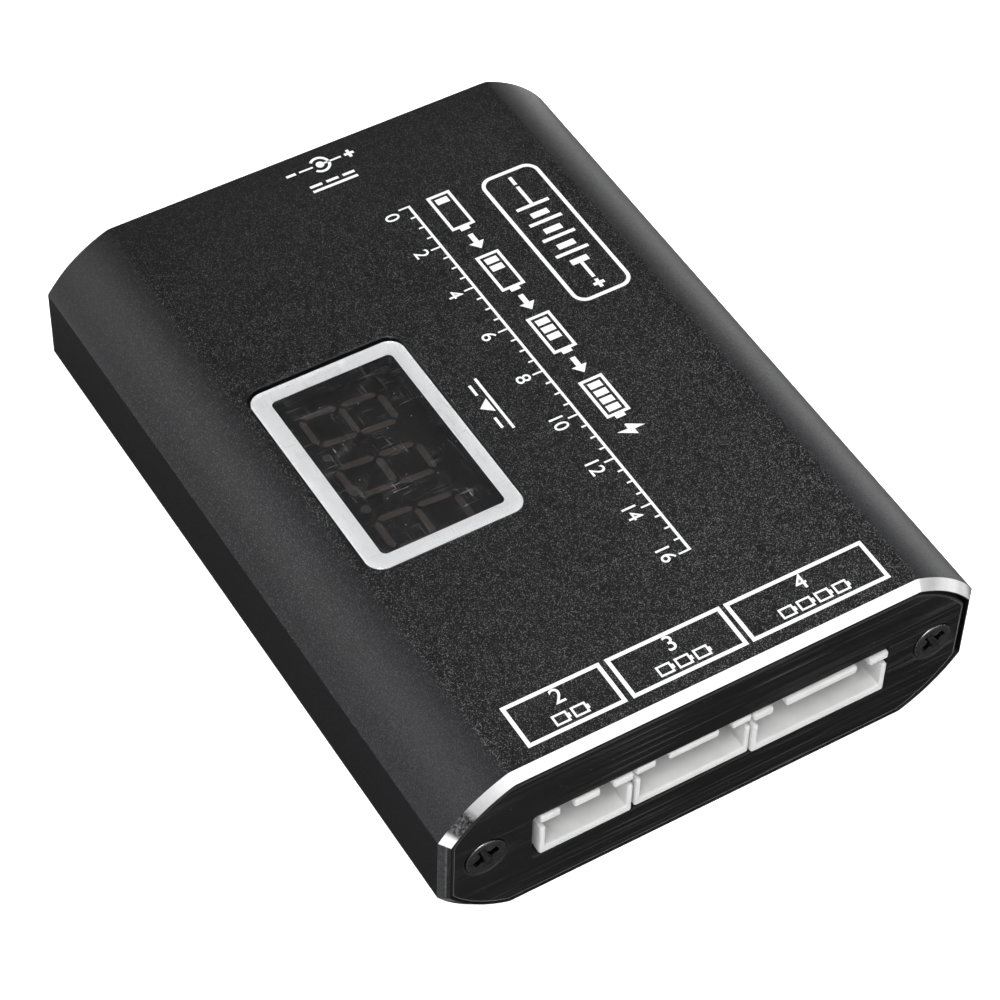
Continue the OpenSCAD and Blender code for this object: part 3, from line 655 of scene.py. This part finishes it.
MAT = {
    "case": anodised(),
    "rim": bright_cut(),
    "plate": brushed(),
    "edge": worn_edge(),
    # painted shade: near black for the plate's sides and hole walls, which lie in shade
    "shade": moulding("painted_shade_black", (0.0015, 0.0015, 0.0015), (0.004, 0.004, 0.004), (0.6, 0.8)),
    "screw": plated("black_steel", (0.08, 0.08, 0.082), (0.19, 0.188, 0.185), (0.3, 0.46)),
    # painted shade: the cross recess is coloured near black
    "recess": plated("screw_recess_shade", (0.008, 0.008, 0.008), (0.03, 0.03, 0.03), (0.15, 0.3)),
    # painted highlight: the head's rim is coloured lighter than the head
    "crest": plated("screw_rim_highlight", (0.25, 0.25, 0.25), (0.5, 0.5, 0.49), (0.2, 0.35)),
    "nylon": nylon(),
    "tin": plated("tinned_brass", (0.52, 0.51, 0.48), (0.66, 0.65, 0.62)),
    "lens": acrylic(),
    "border": border(),
    "foam": moulding("black_foam", (0.003, 0.003, 0.003), (0.006, 0.006, 0.006), (0.85, 0.95), 3.0, 0.08),
    "face": face_black(),
    "segment": resin(),
    "black": moulding("black_moulding", (0.012, 0.012, 0.012), (0.022, 0.022, 0.022)),
    "bronze": plated("spring_bronze", (0.5, 0.38, 0.2), (0.66, 0.53, 0.32)),
    "board": board(),
    "film": film(),
    "epoxy": moulding("black_epoxy", (0.014, 0.014, 0.015), (0.026, 0.026, 0.027)),
    "ferrite": moulding("ferrite", (0.04, 0.04, 0.043), (0.07, 0.07, 0.074), (0.5, 0.65), 2.5, 0.05),
    "copper": winding(),
    "can": can(),
    "ink": ink(),
}

# ------------------------------------------------------------------ case
HX, HZ, HL = 29.4, 20.0, 40.0          # half width, height, half length
ARC_X, ARC_Z, ARC_R = 16.453, 5.496, 15.6
BEVEL = 0.88
KINK_R, RIDGE_R = 1.75, 0.4


def outline(o, rk=None, rr=None, n_k=8, n_arc=26, n_r=6):
    """Tube outline in X and Z, drawn in by o all round."""
    rk = max(KINK_R - o, 0.05) if rk is None else rk
    rr = max(RIDGE_R - o, 0.03) if rr is None else rr
    R, zt, xs = ARC_R - o, HZ - o, HX - o
    zk = zt - rk
    xk = ARC_X + sqrt((R - rk) ** 2 - (zk - ARC_Z) ** 2)
    a1 = atan2(xk - ARC_X, zk - ARC_Z)
    xr = xs - rr
    zr = ARC_Z + sqrt((R - rr) ** 2 - (xr - ARC_X) ** 2)
    a2 = atan2(xr - ARC_X, zr - ARC_Z)
    q = [(0.0, zt), (xk * 0.5, zt), (xk - 0.25, zt)]
    q += [(xk + rk * sin(a1 * i / n_k), zk + rk * cos(a1 * i / n_k)) for i in range(n_k + 1)]
    q += [(ARC_X + R * sin(a1 + (a2 - a1) * i / n_arc), ARC_Z + R * cos(a1 + (a2 - a1) * i / n_arc)) for i in range(1, n_arc + 1)]
    q += [(xr + rr * sin(a2 + (pi / 2 - a2) * i / n_r), zr + rr * cos(a2 + (pi / 2 - a2) * i / n_r)) for i in range(1, n_r + 1)]
    q += [(xs, zr - 0.2), (xs, HZ / 2)]
    low = [(x, HZ - z) for x, z in q]
    right = q + low[-2::-1]
    left = [(-x, z) for x, z in right]
    return right + left[-2:0:-1]


def ring(o, y, rk=None, rr=None):
    return [(x, y, z) for x, z in outline(o, rk, rr)]


g = Geo()
ys = [-HL + BEVEL, -HL + BEVEL + 0.15, -32, -24, -16, -8, 0, 8, 16, 24, 32, HL - BEVEL - 0.15, HL - BEVEL]
rings = [ring(0, y) for y in ys]
kinds = [0] * (len(ys) - 1)
rings += [ring(BEVEL, HL), ring(1.0, HL), ring(1.0, HL - 1.6), ring(1.0, -HL + 1.6), ring(1.0, -HL), ring(BEVEL, -HL)]
kinds += [1, 0, 0, 0, 0, 0, 1]
g.loft(rings, kinds, wrap=True)
case = raw(g, "case")
for m in (MAT["case"], MAT["rim"]):
    case.data.materials.append(m)
tidy(case.data)

# window in the roof, with a small broken edge
LENS_X, LENS_Y, LENS_W, LENS_L, LENS_R = -12.75, -0.72, 17.05, 25.5, 1.75
cutter = Geo()
loops = []
for o, z in ((0, 17.5), (0, 19.9), (0.1, 20.0), (0.5, 20.4)):
    loops.append([(x, y, z) for x, y in round_rect(LENS_W + 0.22 + 2 * o, LENS_L + 0.4 + 2 * o, LENS_R + 0.11 + o, LENS_X, LENS_Y + 0.17)])
ids = cutter.loft(loops)
cutter.face(ids[0][::-1])
cutter.face(ids[-1])
cut(case, cutter)

# screw channels and board grooves on the inner walls
inner = Geo()
for sx in (-1, 1):
    x = sx * 24.8
    tube = Geo()
    for r0, r1 in ((2.2, 0.98),):
        a = [[(x + r * cos(t), y, 10 + r * sin(t)) for t in [2 * pi * i / 40 for i in range(40)]]
             for r, y in ((r0, -38.45), (r0, 38.45), (r1, 38.45), (r1, -38.45))]
        tube.loft(a, wrap=True)
    inner.add(tube)
    xa, xb = sorted((sx * 26.6, sx * 28.6))
    inner.add(box_geo(xa, xb, -38.45, 38.45, 8.8, 11.2))
    for z0, z1 in ((4.0, 4.8), (6.6, 7.3)):
        reach = 28.3 if z0 > 5 else 27.9
        xa, xb = sorted((sx * 25.2, sx * reach))
        inner.add(box_geo(xa, xb, -38.45, 38.45, z0, z1))
fittings = raw(inner, "fittings")
bm = bmesh.new()
bm.from_mesh(case.data)
bm.from_mesh(fittings.data)
bm.to_mesh(case.data)
bm.free()
old = fittings.data
bpy.data.objects.remove(fittings)
bpy.data.meshes.remove(old)
finish_piece(case, [MAT["case"], MAT["rim"]], ["case_extrusion"])

# ------------------------------------------------------------------ end plates
PLATE_IN, PLATE_DX = 1.3, -0.24


def end_plate(name, s, node):
    """Brushed plate with broken edges, and painted shade on its sides and hole walls; s = -1 front, 1 rear."""
    g = Geo()
    y_face, y_soft, y_back = s * HL, s * (HL - 0.08), s * (HL - 1.5)
    flat = lambda p: (p[0], p[2])

    def row(o, y, rk, rr):
        return [(x + PLATE_DX, y, z) for x, y, z in ring(o, y, rk, rr)]

    rows = [row(PLATE_IN + 0.21, y_face, 0.51, 0.86), row(PLATE_IN + 0.13, y_face, 0.54, 0.9), row(PLATE_IN, y_soft, 0.63, 1.0),
            row(PLATE_IN, s * (HL - 0.3), 0.63, 1.0), row(PLATE_IN, y_back, 0.63, 1.0)]
    # the face's outer ring takes the edge colour; the plate's sides, in the gap to the case, take the painted shade
    # material
    outer = g.loft(rows, [1, 2, 2, 2])
    front_loops, back_loops = [outer[0]], [outer[-1]]

    # hole walls take the painted shade material
    def hole(levels):
        ids = g.loft(levels, 2)
        front_loops.append(ids[0])
        back_loops.append(ids[-1])

    for sx in (-1, 1):
        lv = []
        for r, depth in ((2.42, 0.0), (2.4, 0.02), (1.3, 1.12), (1.3, 1.5)):
            lv.append([(x, s * (HL - depth), z) for x, z in circle(r, 48, sx * 24.8, 10.0)])
        hole(lv)
    if s < 0:
        x0, x1, z0, z1 = -19.9, 19.55, 6.18, 12.5
        lv = []
        for o, depth in ((0.05, 0.0), (0.0, 0.05), (0.0, 1.5)):
            lv.append([(x, s * (HL - depth), z) for x, z in round_rect(x1 - x0 + 2 * o, z1 - z0 + 2 * o, 0.35 + o, (x0 + x1) / 2, (z0 + z1) / 2, 5)])
        hole(lv)
    else:
        lv = []
        for r, depth in ((3.75, 0.0), (3.6, 0.15), (3.6, 1.5)):
            lv.append([(x, s * (HL - depth), z) for x, z in circle(r, 64, 1.0, 13.0)])
        hole(lv)
    g.fill(front_loops, flat)
    g.fill(back_loops, flat)
    return piece(g, name, [MAT["plate"], MAT["edge"], MAT["shade"]], [node], sharp_deg=15)


end_plate("plate_front", -1, "front_plate")
end_plate("plate_rear", 1, "rear_plate")


# ------------------------------------------------------------------ screws
def thread(z0, z1, r_root, r_crest, pitch, n=28, per_turn=10):
    """Rings of a helical thread from z0 to z1, fading out at both ends."""
    rings = []
    steps = int((z1 - z0) / pitch * per_turn)
    for k in range(steps + 1):
        z = z0 + (z1 - z0) * k / steps
        fade = min(1.0, (z - z0) / pitch, (z1 - z) / pitch)
        row = []
        for i in range(n):
            t = 2 * pi * i / n
            phase = ((z - z0) / pitch - i / n) % 1.0
            tri = max(0.0, 1.0 - abs(phase - 0.5) / 0.36)
            r = r_root + (r_crest - r_root) * tri * max(0.0, fade)
            row.append((r * cos(t), r * sin(t), z))
        rings.append(row)
    return rings


def screw_mesh(turn):
    """Countersunk cross-recess screw, head face at z = 0, point along +Z."""
    n = 28
    g = Geo()
    prof = [(2.02, 0.0), (2.08, 0.03), (2.1, 0.09), (2.08, 0.15), (0.86, 1.2)]
    rows = [[(r * cos(2 * pi * i / n), r * sin(2 * pi * i / n), z) for i in range(n)] for r, z in prof]
    rows += thread(1.3, 6.9, 0.7, 0.94, 0.62, n)
    rows += [[(r * cos(2 * pi * i / n), r * sin(2 * pi * i / n), z) for i in range(n)] for r, z in ((0.62, 7.2), (0.35, 7.8), (0.22, 7.98))]
    ids = g.loft(rows)
    g.face(ids[0][::-1])
    g.face(ids[-1])
    o = raw(g, "screw_tmp")
    tidy(o.data)
    for k in range(2):
        c = Geo()
        rr = Matrix.Rotation(radians(turn + 90 * k), 4, "Z")
        top = [(-1.48, -0.42), (1.48, -0.42), (1.48, 0.42), (-1.48, 0.42)]
        low = [(-0.5, -0.22), (0.5, -0.22), (0.5, 0.22), (-0.5, 0.22)]
        a = c.pts([rr @ Vector((x, y, -0.12)) for x, y in top])
        b = c.pts([rr @ Vector((x, y, 1.0)) for x, y in low])
        c.face(a)
        c.face(b[::-1])
        c.bridge(a, b)
        cut(o, c)
    cone = lathe([(0, -0.1), (0.78, -0.1), (0.34, 1.05), (0, 1.12)], 24)
    cut(o, cone)
    mesh = o.data
    verts = [tuple(v.co / MM) for v in mesh.vertices]
    faces = [tuple(p.vertices) for p in mesh.polygons]
    bpy.data.objects.remove(o)
    bpy.data.meshes.remove(mesh)
    out = Geo()
    out.v, out.f = verts, faces
    for f in faces:
        c = sum((Vector(verts[i]) for i in f), Vector()) / len(f)
        cone = 2.08 - 1.162 * (c.z - 0.15)
        r = sqrt(c.x ** 2 + c.y ** 2)
        # painted highlight material on the rim of the head, painted shade material in the recess
        if r > 1.95 and 0.004 < c.z < 0.08:
            out.m.append(2)
        else:
            out.m.append(1 if 0.03 < c.z < 1.25 and r < cone - 0.22 else 0)
    return out


def screw_pair(name, s, node, turns):
    g = Geo()
    for sx, turn in zip((-1, 1), turns):
        place = Matrix.Translation((sx * 24.8, s * (HL - 0.02), 10.0)) @ Matrix.Rotation(radians(90 * s), 4, "X")
        g.add(screw_mesh(turn), place)
    return piece(g, name, [MAT["screw"], MAT["recess"], MAT["crest"]], [node])


screw_pair("screws_front", -1, "front_screws", (-24, -33))
screw_pair("screws_rear", 1, "rear_screws", (12, 61))


# ------------------------------------------------------------------ balance sockets
def socket(name, node, x, w, y):
    xs = [x, x + 0.6, x + 2.15, x + 3.6, x + w - 3.6, x + w - 2.15, x + w - 0.6, x + w]
    ys = [y, y + 5.0, y + 6.5, y + 9.2]
    zs = [6.5, 7.45, 10.5, 11.3, 12.25]

    def solid(i, j, k):
        if j == 2 or k == 0:
            return True
        if k == 3:
            return not (j == 0 and i in (2, 4))
        if i in (0, 6):
            return not (j == 0 and k == 2)
        return False

    o = raw(cells(xs, ys, zs, solid), name)
    tidy(o.data)
    soften(o, 0.26, 4)
    return finish_piece(o, [MAT["nylon"]], [node], sharp_deg=40)


socket("socket_two", "socket_2cell", -19.15, 10.0, -40.2)
socket("socket_three", "socket_3cell", -8.75, 12.7, -40.0)
socket("socket_four", "socket_4cell", 4.05, 15.2, -40.3)

# ------------------------------------------------------------------ lens
g = Geo()
rows = []
levels = [(0.3, 19.412), (0.05, 19.412), (0.0, 19.46), (0.0, 19.6)]
levels += [(0.45 * (1 - cos(i * pi / 14)), 19.6 + 0.38 * sin(i * pi / 14)) for i in range(1, 8)]
levels += [(0.55, 19.98), (0.8, 19.98)]
for o, z in levels:
    rows.append([(x, y, z) for x, y in round_rect(LENS_W - 2 * o, LENS_L - 2 * o, LENS_R - o, LENS_X, LENS_Y, 10)])
ids = g.loft(rows)
g.face(ids[0][::-1])
g.face(ids[-1])
piece(g, "lens", [MAT["lens"]], ["display_lens"], sharp_deg=50)

# ------------------------------------------------------------------ printed marks
INK_Z0, INK_Z1 = 19.985, 20.012
FRONT = Matrix(((1, 0, 0, 0), (0, 1, 0, 0), (0, 0, 1, 0), (0, 0, 0, 1)))       # read from the socket end
SIDE = Matrix(((0, 1, 0, 0), (-1, 0, 0, 0), (0, 0, 1, 0), (0, 0, 0, 1)))       # read from the left side
REAR = Matrix(((-1, 0, 0, 0), (0, -1, 0, 0), (0, 0, 1, 0), (0, 0, 0, 1)))      # read from the inlet end


class Ink(Geo):
    def at(self, geo, x, y, way):
        self.add(geo, Matrix.Translation((x, y, 0)) @ way)

    def area(self, loop, x=0, y=0, way=FRONT):
        self.at(prism(loop, INK_Z0, INK_Z1), x, y, way)

    def frame(self, outer, innr, x=0, y=0, way=FRONT):
        g = Geo()
        a0, b0 = g.pts([(u, v, INK_Z0) for u, v in outer]), g.pts([(u, v, INK_Z0) for u, v in innr])
        a1, b1 = g.pts([(u, v, INK_Z1) for u, v in outer]), g.pts([(u, v, INK_Z1) for u, v in innr])
        g.bridge(a0, a1)
        g.bridge(b0, b1)
        if len(outer) == len(innr):
            g.bridge(a0, b0)
            g.bridge(a1, b1)
        else:
            flat = lambda p: (p[0], p[1])
            g.fill([a0, b0], flat)
            g.fill([a1, b1], flat)
        self.at(g, x, y, way)

    def rect(self, u0, u1, v0, v1, x=0, y=0, way=FRONT):
        self.area([(u0, v0), (u1, v0), (u1, v1), (u0, v1)], x, y, way)

    def box(self, u0, u1, v0, v1, t, x=0, y=0, way=FRONT):
        self.frame([(u0, v0), (u1, v0), (u1, v1), (u0, v1)],
                   [(u0 + t, v0 + t), (u1 - t, v0 + t), (u1 - t, v1 - t), (u0 + t, v1 - t)], x, y, way)

    def number(self, text, size, x, y, way=FRONT, bold=0.0):
        cu = bpy.data.curves.new("figure", "FONT")
        cu.body, cu.size = text, size
        cu.align_x, cu.align_y = "CENTER", "CENTER"
        cu.extrude = (INK_Z1 - INK_Z0) / 2
        cu.offset = bold
        cu.resolution_u = 6
        o = bpy.data.objects.new("figure", cu)
        scene.collection.objects.link(o)
        dg = bpy.context.evaluated_depsgraph_get()
        dg.update()
        mesh = bpy.data.meshes.new_from_object(o.evaluated_get(dg))
        g = Geo()
        mid = (INK_Z0 + INK_Z1) / 2
        g.v = [(v.co.x, v.co.y, v.co.z + mid) for v in mesh.vertices]
        g.f = [tuple(p.vertices) for p in mesh.polygons]
        g.m = [0] * len(g.f)
        bpy.data.objects.remove(o)
        bpy.data.curves.remove(cu)
        bpy.data.meshes.remove(mesh)
        self.at(g, x, y, way)

    def cell(self, u, v, w, h, t, bars, x=0, y=0, way=FRONT):
        """Battery sign: outline, cap and charge bars; u, v is its lower left corner."""
        self.box(u, u + w, v, v + h, t, x, y, way)
        self.rect(u + w, u + w + t * 1.3, v + h * 0.3, v + h * 0.7, x, y, way)
        gap = t * 0.9
        room = w - 2 * t - gap
        bw = room / 4 - gap
        for k in range(bars):
            b = u + t + gap + k * (bw + gap)
            self.rect(b, b + bw, v + t + gap, v + h - t - gap, x, y, way)

    def bolt(self, u, v, h, x=0, y=0, way=FRONT):
        pts = [(0.10, 0.46), (0.42, 1.0), (0.42, 0.60), (0.66, 0.60), (0.30, 0.0), (0.32, 0.40), (0.10, 0.40)]
        self.area([(u + a * h, v + b * h) for a, b in pts], x, y, way)

    def arrow(self, u, v, w, h, x=0, y=0, way=FRONT):
        t = h * 0.17
        self.area([(u, v - t), (u + w * 0.55, v - t), (u + w * 0.55, v - h / 2), (u + w, v),
                   (u + w * 0.55, v + h / 2), (u + w * 0.55, v + t), (u, v + t)], x, y, way)


mark = Ink()
LINE = 0.42
# port frames with a plain number and that many cells
for x0, x1, n in ((-19.25, -8.75, 2), (-8.15, 4.36, 3), (4.82, 20.23, 4)):
    mark.box(x0, x1, -37.7, -32.6, LINE)
    mid = (x0 + x1) / 2
    mark.number(str(n), 2.5, mid, -34.05, FRONT, 0.012)
    cw, ch, gap = 1.55, 1.25, 0.45
    start = mid - (n * cw + (n - 1) * gap) / 2
    for k in range(n):
        u = start + k * (cw + gap)
        mark.box(u, u + cw, -36.95, -36.95 + ch, 0.22)
        mark.rect(u + cw - 0.01, u + cw + 0.2, -36.95 + ch * 0.3, -36.95 + ch * 0.7)
piece(mark, "marks_ports", [MAT["ink"]])

# badge: rounded frame with the schematic sign of a cell stack
badge = Ink()
bx, by = 16.915, 16.5
badge.frame(round_rect(20.0, 6.73, 1.5), round_rect(20.0 - 2 * LINE, 6.73 - 2 * LINE, 1.5 - LINE), bx, by, SIDE)
u = -4.6
badge.rect(-7.4, u, -0.2, 0.2, bx, by, SIDE)
for k in range(4):
    badge.rect(u, u + 0.42, -1.9, 1.9, bx, by, SIDE)
    badge.rect(u + 1.25, u + 2.0, -1.0, 1.0, bx, by, SIDE)
    u += 2.55
badge.rect(u - 0.55, 7.4, -0.2, 0.2, bx, by, SIDE)
for s, w in ((-1, 1), (1, 0)):
    c = 8.35 * s
    badge.rect(c - 0.62, c + 0.62, -0.2, 0.2, bx, by, SIDE)
    if not w:
        badge.rect(c - 0.2, c + 0.2, -0.62, -0.2, bx, by, SIDE)
        badge.rect(c - 0.2, c + 0.2, 0.2, 0.62, bx, by, SIDE)
piece(badge, "marks_badge", [MAT["ink"]])

# first row: cells filling up; second row: a scale with plain numbers
rows = Ink()
rx = 9.2
u = -27.0
for k, bars in enumerate((1, 2, 3, 4)):
    rows.cell(u, -1.35, 5.4, 2.7, 0.34, bars, rx, 0, SIDE)
    u += 6.6
    if k < 3:
        rows.arrow(u, 0, 2.3, 1.7, rx, 0, SIDE)
        u += 3.2
rows.bolt(u - 0.1, -1.5, 3.0, rx, 0, SIDE)
rx = 4.5
rows.rect(-27.0, 25.6, 1.15, 1.45, rx, 0, SIDE)
for k in range(33):
    t = -26.9 + k * 52.4 / 32
    long = k % 4 == 0
    rows.rect(t - 0.1, t + 0.1, 0.1 if long else 0.6, 1.2, rx, 0, SIDE)
piece(rows, "marks_rows", [MAT["ink"]])

figures = Ink()
for k in range(0, 33, 4):
    t = -26.9 + k * 52.4 / 32
    t = min(max(t, -26.3), 24.8)
    figures.number(str(k // 2), 2.2, rx - 1.05, -t, SIDE, 0.01)
piece(figures, "marks_figures", [MAT["ink"]])

# small pointer beside the window
pointer = Ink()
px = -1.15
pointer.rect(-4.9 + 1.2, 4.9 - 1.2, 0.45, 0.75, px, -0.6, SIDE)
pointer.area([(-0.95, 0.2), (0.0, -1.0), (0.95, 0.2)], px, -0.6, SIDE)
for s in (-1, 1):
    pointer.rect(s * 2.4 - 0.75, s * 2.4 + 0.75, -0.5, -0.2, px, -0.6, SIDE)
piece(pointer, "marks_pointer", [MAT["ink"]])

# inlet: polarity diagram, centre positive, and the direct-current sign
inlet = Ink()
ix, iy = 0.95, 36.75


def arc_band(r, t, a0, a1, n=40):
    pts = [((r + t / 2) * cos(a0 + (a1 - a0) * i / n), (r + t / 2) * sin(a0 + (a1 - a0) * i / n)) for i in range(n + 1)]
    pts += [((r - t / 2) * cos(a1 + (a0 - a1) * i / n), (r - t / 2) * sin(a1 + (a0 - a1) * i / n)) for i in range(n + 1)]
    return pts


inlet.area(circle(0.45, 28), ix, iy, REAR)
inlet.area(arc_band(1.0, 0.3, radians(40), radians(320)), ix, iy, REAR)
inlet.rect(-2.45, -0.4, -0.11, 0.11, ix, iy, REAR)
inlet.rect(0.85, 2.45, -0.11, 0.11, ix, iy, REAR)
inlet.rect(2.85, 3.95, -0.17, 0.17, ix, iy, REAR)
inlet.rect(-3.95, -2.85, -0.17, 0.17, ix, iy, REAR)
inlet.rect(-3.57, -3.23, -0.55, -0.17, ix, iy, REAR)
inlet.rect(-3.57, -3.23, 0.17, 0.55, ix, iy, REAR)
inlet.rect(-2.6, 2.6, 0.22, 0.56, 1.0, 33.9, REAR)
for k in (-1, 0, 1):
    inlet.rect(k * 1.9 - 0.7, k * 1.9 + 0.7, -0.5, -0.16, 1.0, 33.9, REAR)
piece(inlet, "marks_inlet", [MAT["ink"]])

# ------------------------------------------------------------------ DC inlet
JX, JZ = 1.0, 13.0
o = raw(cells([JX - 4.5, JX - 4.1, JX + 4.1, JX + 4.5], [24.2, 35.0, 38.4], [6.5, 13.0, 17.5],
              lambda i, j, k: j == 1 or (i == 1 and k == 0)), "inlet_housing")
tidy(o.data)
soften(o, 0.25, 3)
drum = Geo()
rows = [[(JX + 4.1 * cos(2 * pi * i / 64), y, JZ + 4.1 * sin(2 * pi * i / 64)) for i in range(64)] for y in (24.25, 36.0)]
ids = drum.loft(rows)
drum.face(ids[0])
drum.face(ids[-1])
cut(o, drum, "UNION")


def bar_y(r, y0, y1, x=JX, z=JZ, n=64, flare=None):
    g = Geo()
    rows = [[(x + rr * cos(2 * pi * i / n), y, z + rr * sin(2 * pi * i / n)) for i in range(n)] for rr, y in
            ([(r, y0), (r, y1)] if flare is None else [(r, y0), (r, y1 - flare), (r + flare * 1.5, y1 + flare * 0.5)])]
    ids = g.loft(rows)
    g.face(ids[0])
    g.face(ids[-1])
    return g


cut(o, bar_y(3.15, 28.9, 38.4, flare=0.4))
cut(o, bar_y(0.77, 23.0, 30.0))
cut(o, box_geo(JX - 1.6, JX + 1.6, 26.4, 37.5, 7.6, 11.1))
cut(o, box_geo(JX - 1.25, JX + 1.25, 26.45, 26.95, 5.5, 8.5))
finish_piece(o, [MAT["black"]], ["jack_housing"])

pin = Geo()
pin.add(lathe([(0, 23.3), (0.7, 23.3), (0.75, 23.35), (0.75, 28.93), (1.0, 28.93), (1.0, 37.3), (0.93, 37.6), (0.72, 37.85), (0.4, 37.98), (0, 38.0)], 40),
        Matrix.Translation((JX, 0, JZ)) @ Matrix.Rotation(radians(-90), 4, "X"))
piece(pin, "inlet_pin", [MAT["tin"]], ["jack_centre_pin"])

# leaf: a bent strip with rounded edges
leaf = Geo()
path = [(27.2, 9.0), (30.0, 9.55), (32.6, 10.06), (33.2, 10.24), (33.7, 10.42), (34.0, 10.48), (34.3, 10.42), (34.8, 10.24), (35.2, 10.05), (36.4, 9.45)]
rows = []
for k, (y, z) in enumerate(path):
    y0, z0 = path[max(k - 1, 0)]
    y1, z1 = path[min(k + 1, len(path) - 1)]
    d = Vector((y1 - y0, z1 - z0)).normalized()
    nrm = Vector((-d.y, d.x))
    row = []
    for u, v in round_rect(2.4, 0.3, 0.07, 0, 0, 3):
        p = Vector((y, z)) + nrm * (v - 0.15)
        row.append((JX + u, p.x, p.y))
    rows.append(row)
ids = leaf.loft(rows)
leaf.face(ids[0][::-1])
leaf.face(ids[-1])
piece(leaf, "inlet_leaf", [MAT["bronze"]], ["jack_spring"], body="jack_leaf")

# ------------------------------------------------------------------ carried-over pieces
LOOKS = {
    "pins_2cell": "tin", "pins_3cell": "tin", "pins_4cell": "tin",
    "lens_mask": "border", "lens_gasket": "foam",
    "display_body": "face", "display_segments": "segment", "display_pins": "tin",
    "jack_terminals": "tin", "main_board": "board", "insulation_sheet": "film",
    "controller_chip": "epoxy", "controller_leads": "tin", "power_transistors": "epoxy",
    "inductor_core": "ferrite", "inductor_coil": "copper", "capacitors": "can",
    "balance_resistors": "epoxy", "input_diode": "epoxy", "voltage_regulator": "epoxy",
}
for name, look in LOOKS.items():
    slots = nodes[name].data.materials
    slots.clear()
    slots.append(MAT[look])

# ------------------------------------------------------------------ floor and light
fm = Mat("pale_floor").put(Metallic=0.0, Roughness=0.9)
fm.bsdf.inputs["Specular IOR Level"].default_value = 0.1
fm.bsdf.inputs["Emission Color"].default_value = (1, 1, 1, 1)
fm.bsdf.inputs["Emission Strength"].default_value = 0.7
fm.use(fm.ramp(fm.noise(0.01, 2.0), [(0.3, (0.9, 0.9, 0.9)), (0.7, (0.92, 0.92, 0.92))]))


def floor_part(name, xs, ys, glossy):
    """One sheet of the floor; glossy says whether it shows in reflections."""
    g = Geo()
    grid = [g.pts([(x, y, -0.03) for y in ys]) for x in xs]
    for a, b in zip(grid, grid[1:]):
        for j in range(len(ys) - 1):
            g.face((a[j], b[j], b[j + 1], a[j + 1]))
    o = raw(g, name)
    o.data.materials.append(fm.mat)
    o.visible_glossy = glossy


# the sheets next to the object stay out of its reflections, as a dark flag would keep them
FAR = [100, 400, 1000, 2000]
floor_part("floor_near", [-75, -29, 0, 29, 60], [-80, -38, 0, 38, 60], False)
floor_part("floor_left", [-2000, -1000, -400, -100, -75], [-80, -38, 0, 38, 60], True)
floor_part("floor_right", [60] + FAR, [-80, -38, 0, 38, 60], True)
floor_part("floor_front", [-2000, -1000, -400, -100, -75, 60] + FAR, [-2000, -1000, -400, -100, -80], True)
floor_part("floor_rear", [-2000, -1000, -400, -100, -75, 60] + FAR, [60] + FAR, True)

# pale backdrop all round for low views; it neither lights the object nor shows in it
g = Geo()
g.loft([[(x, y, z) for x, y in circle(1990, 96)] for z in (-0.03, 300, 800, 1600)])
drop = raw(g, "backdrop")
for f in drop.data.polygons:
    f.use_smooth = True
drop.data.materials.append(fm.mat)
drop.visible_diffuse = drop.visible_glossy = drop.visible_transmission = drop.visible_shadow = False

world = bpy.data.worlds.new("studio")
scene.world = world
world.use_nodes = True
world.node_tree.nodes["Background"].inputs["Color"].default_value = (0.105, 0.105, 0.11, 1)
world.node_tree.nodes["Background"].inputs["Strength"].default_value = 1.0


def softbox(name, direction, dist, size, power, aim=(0, 0, 10)):
    """Area light that faces the object from a direction; sizes in mm."""
    data = bpy.data.lights.new(name, "AREA")
    data.shape = "RECTANGLE"
    data.size, data.size_y = size[0] * MM, size[1] * MM
    data.energy = power
    o = bpy.data.objects.new(name, data)
    scene.collection.objects.link(o)
    d = Vector(direction).normalized()
    o.location = (Vector(aim) + d * dist) * MM
    o.rotation_euler = d.to_track_quat("Z", "Y").to_euler()
    return o


softbox("front_right", (0.52, -0.74, 0.5), 700, (900, 430), 1.7)
softbox("front_left", (-0.35, -0.88, 0.38), 700, (520, 470), 0.72)
softbox("left_rear", (-0.70, 0.50, 0.50), 650, (420, 340), 1.05)
softbox("overhead", (-0.35, -0.45, 1.0), 900, (500, 500), 8.6)
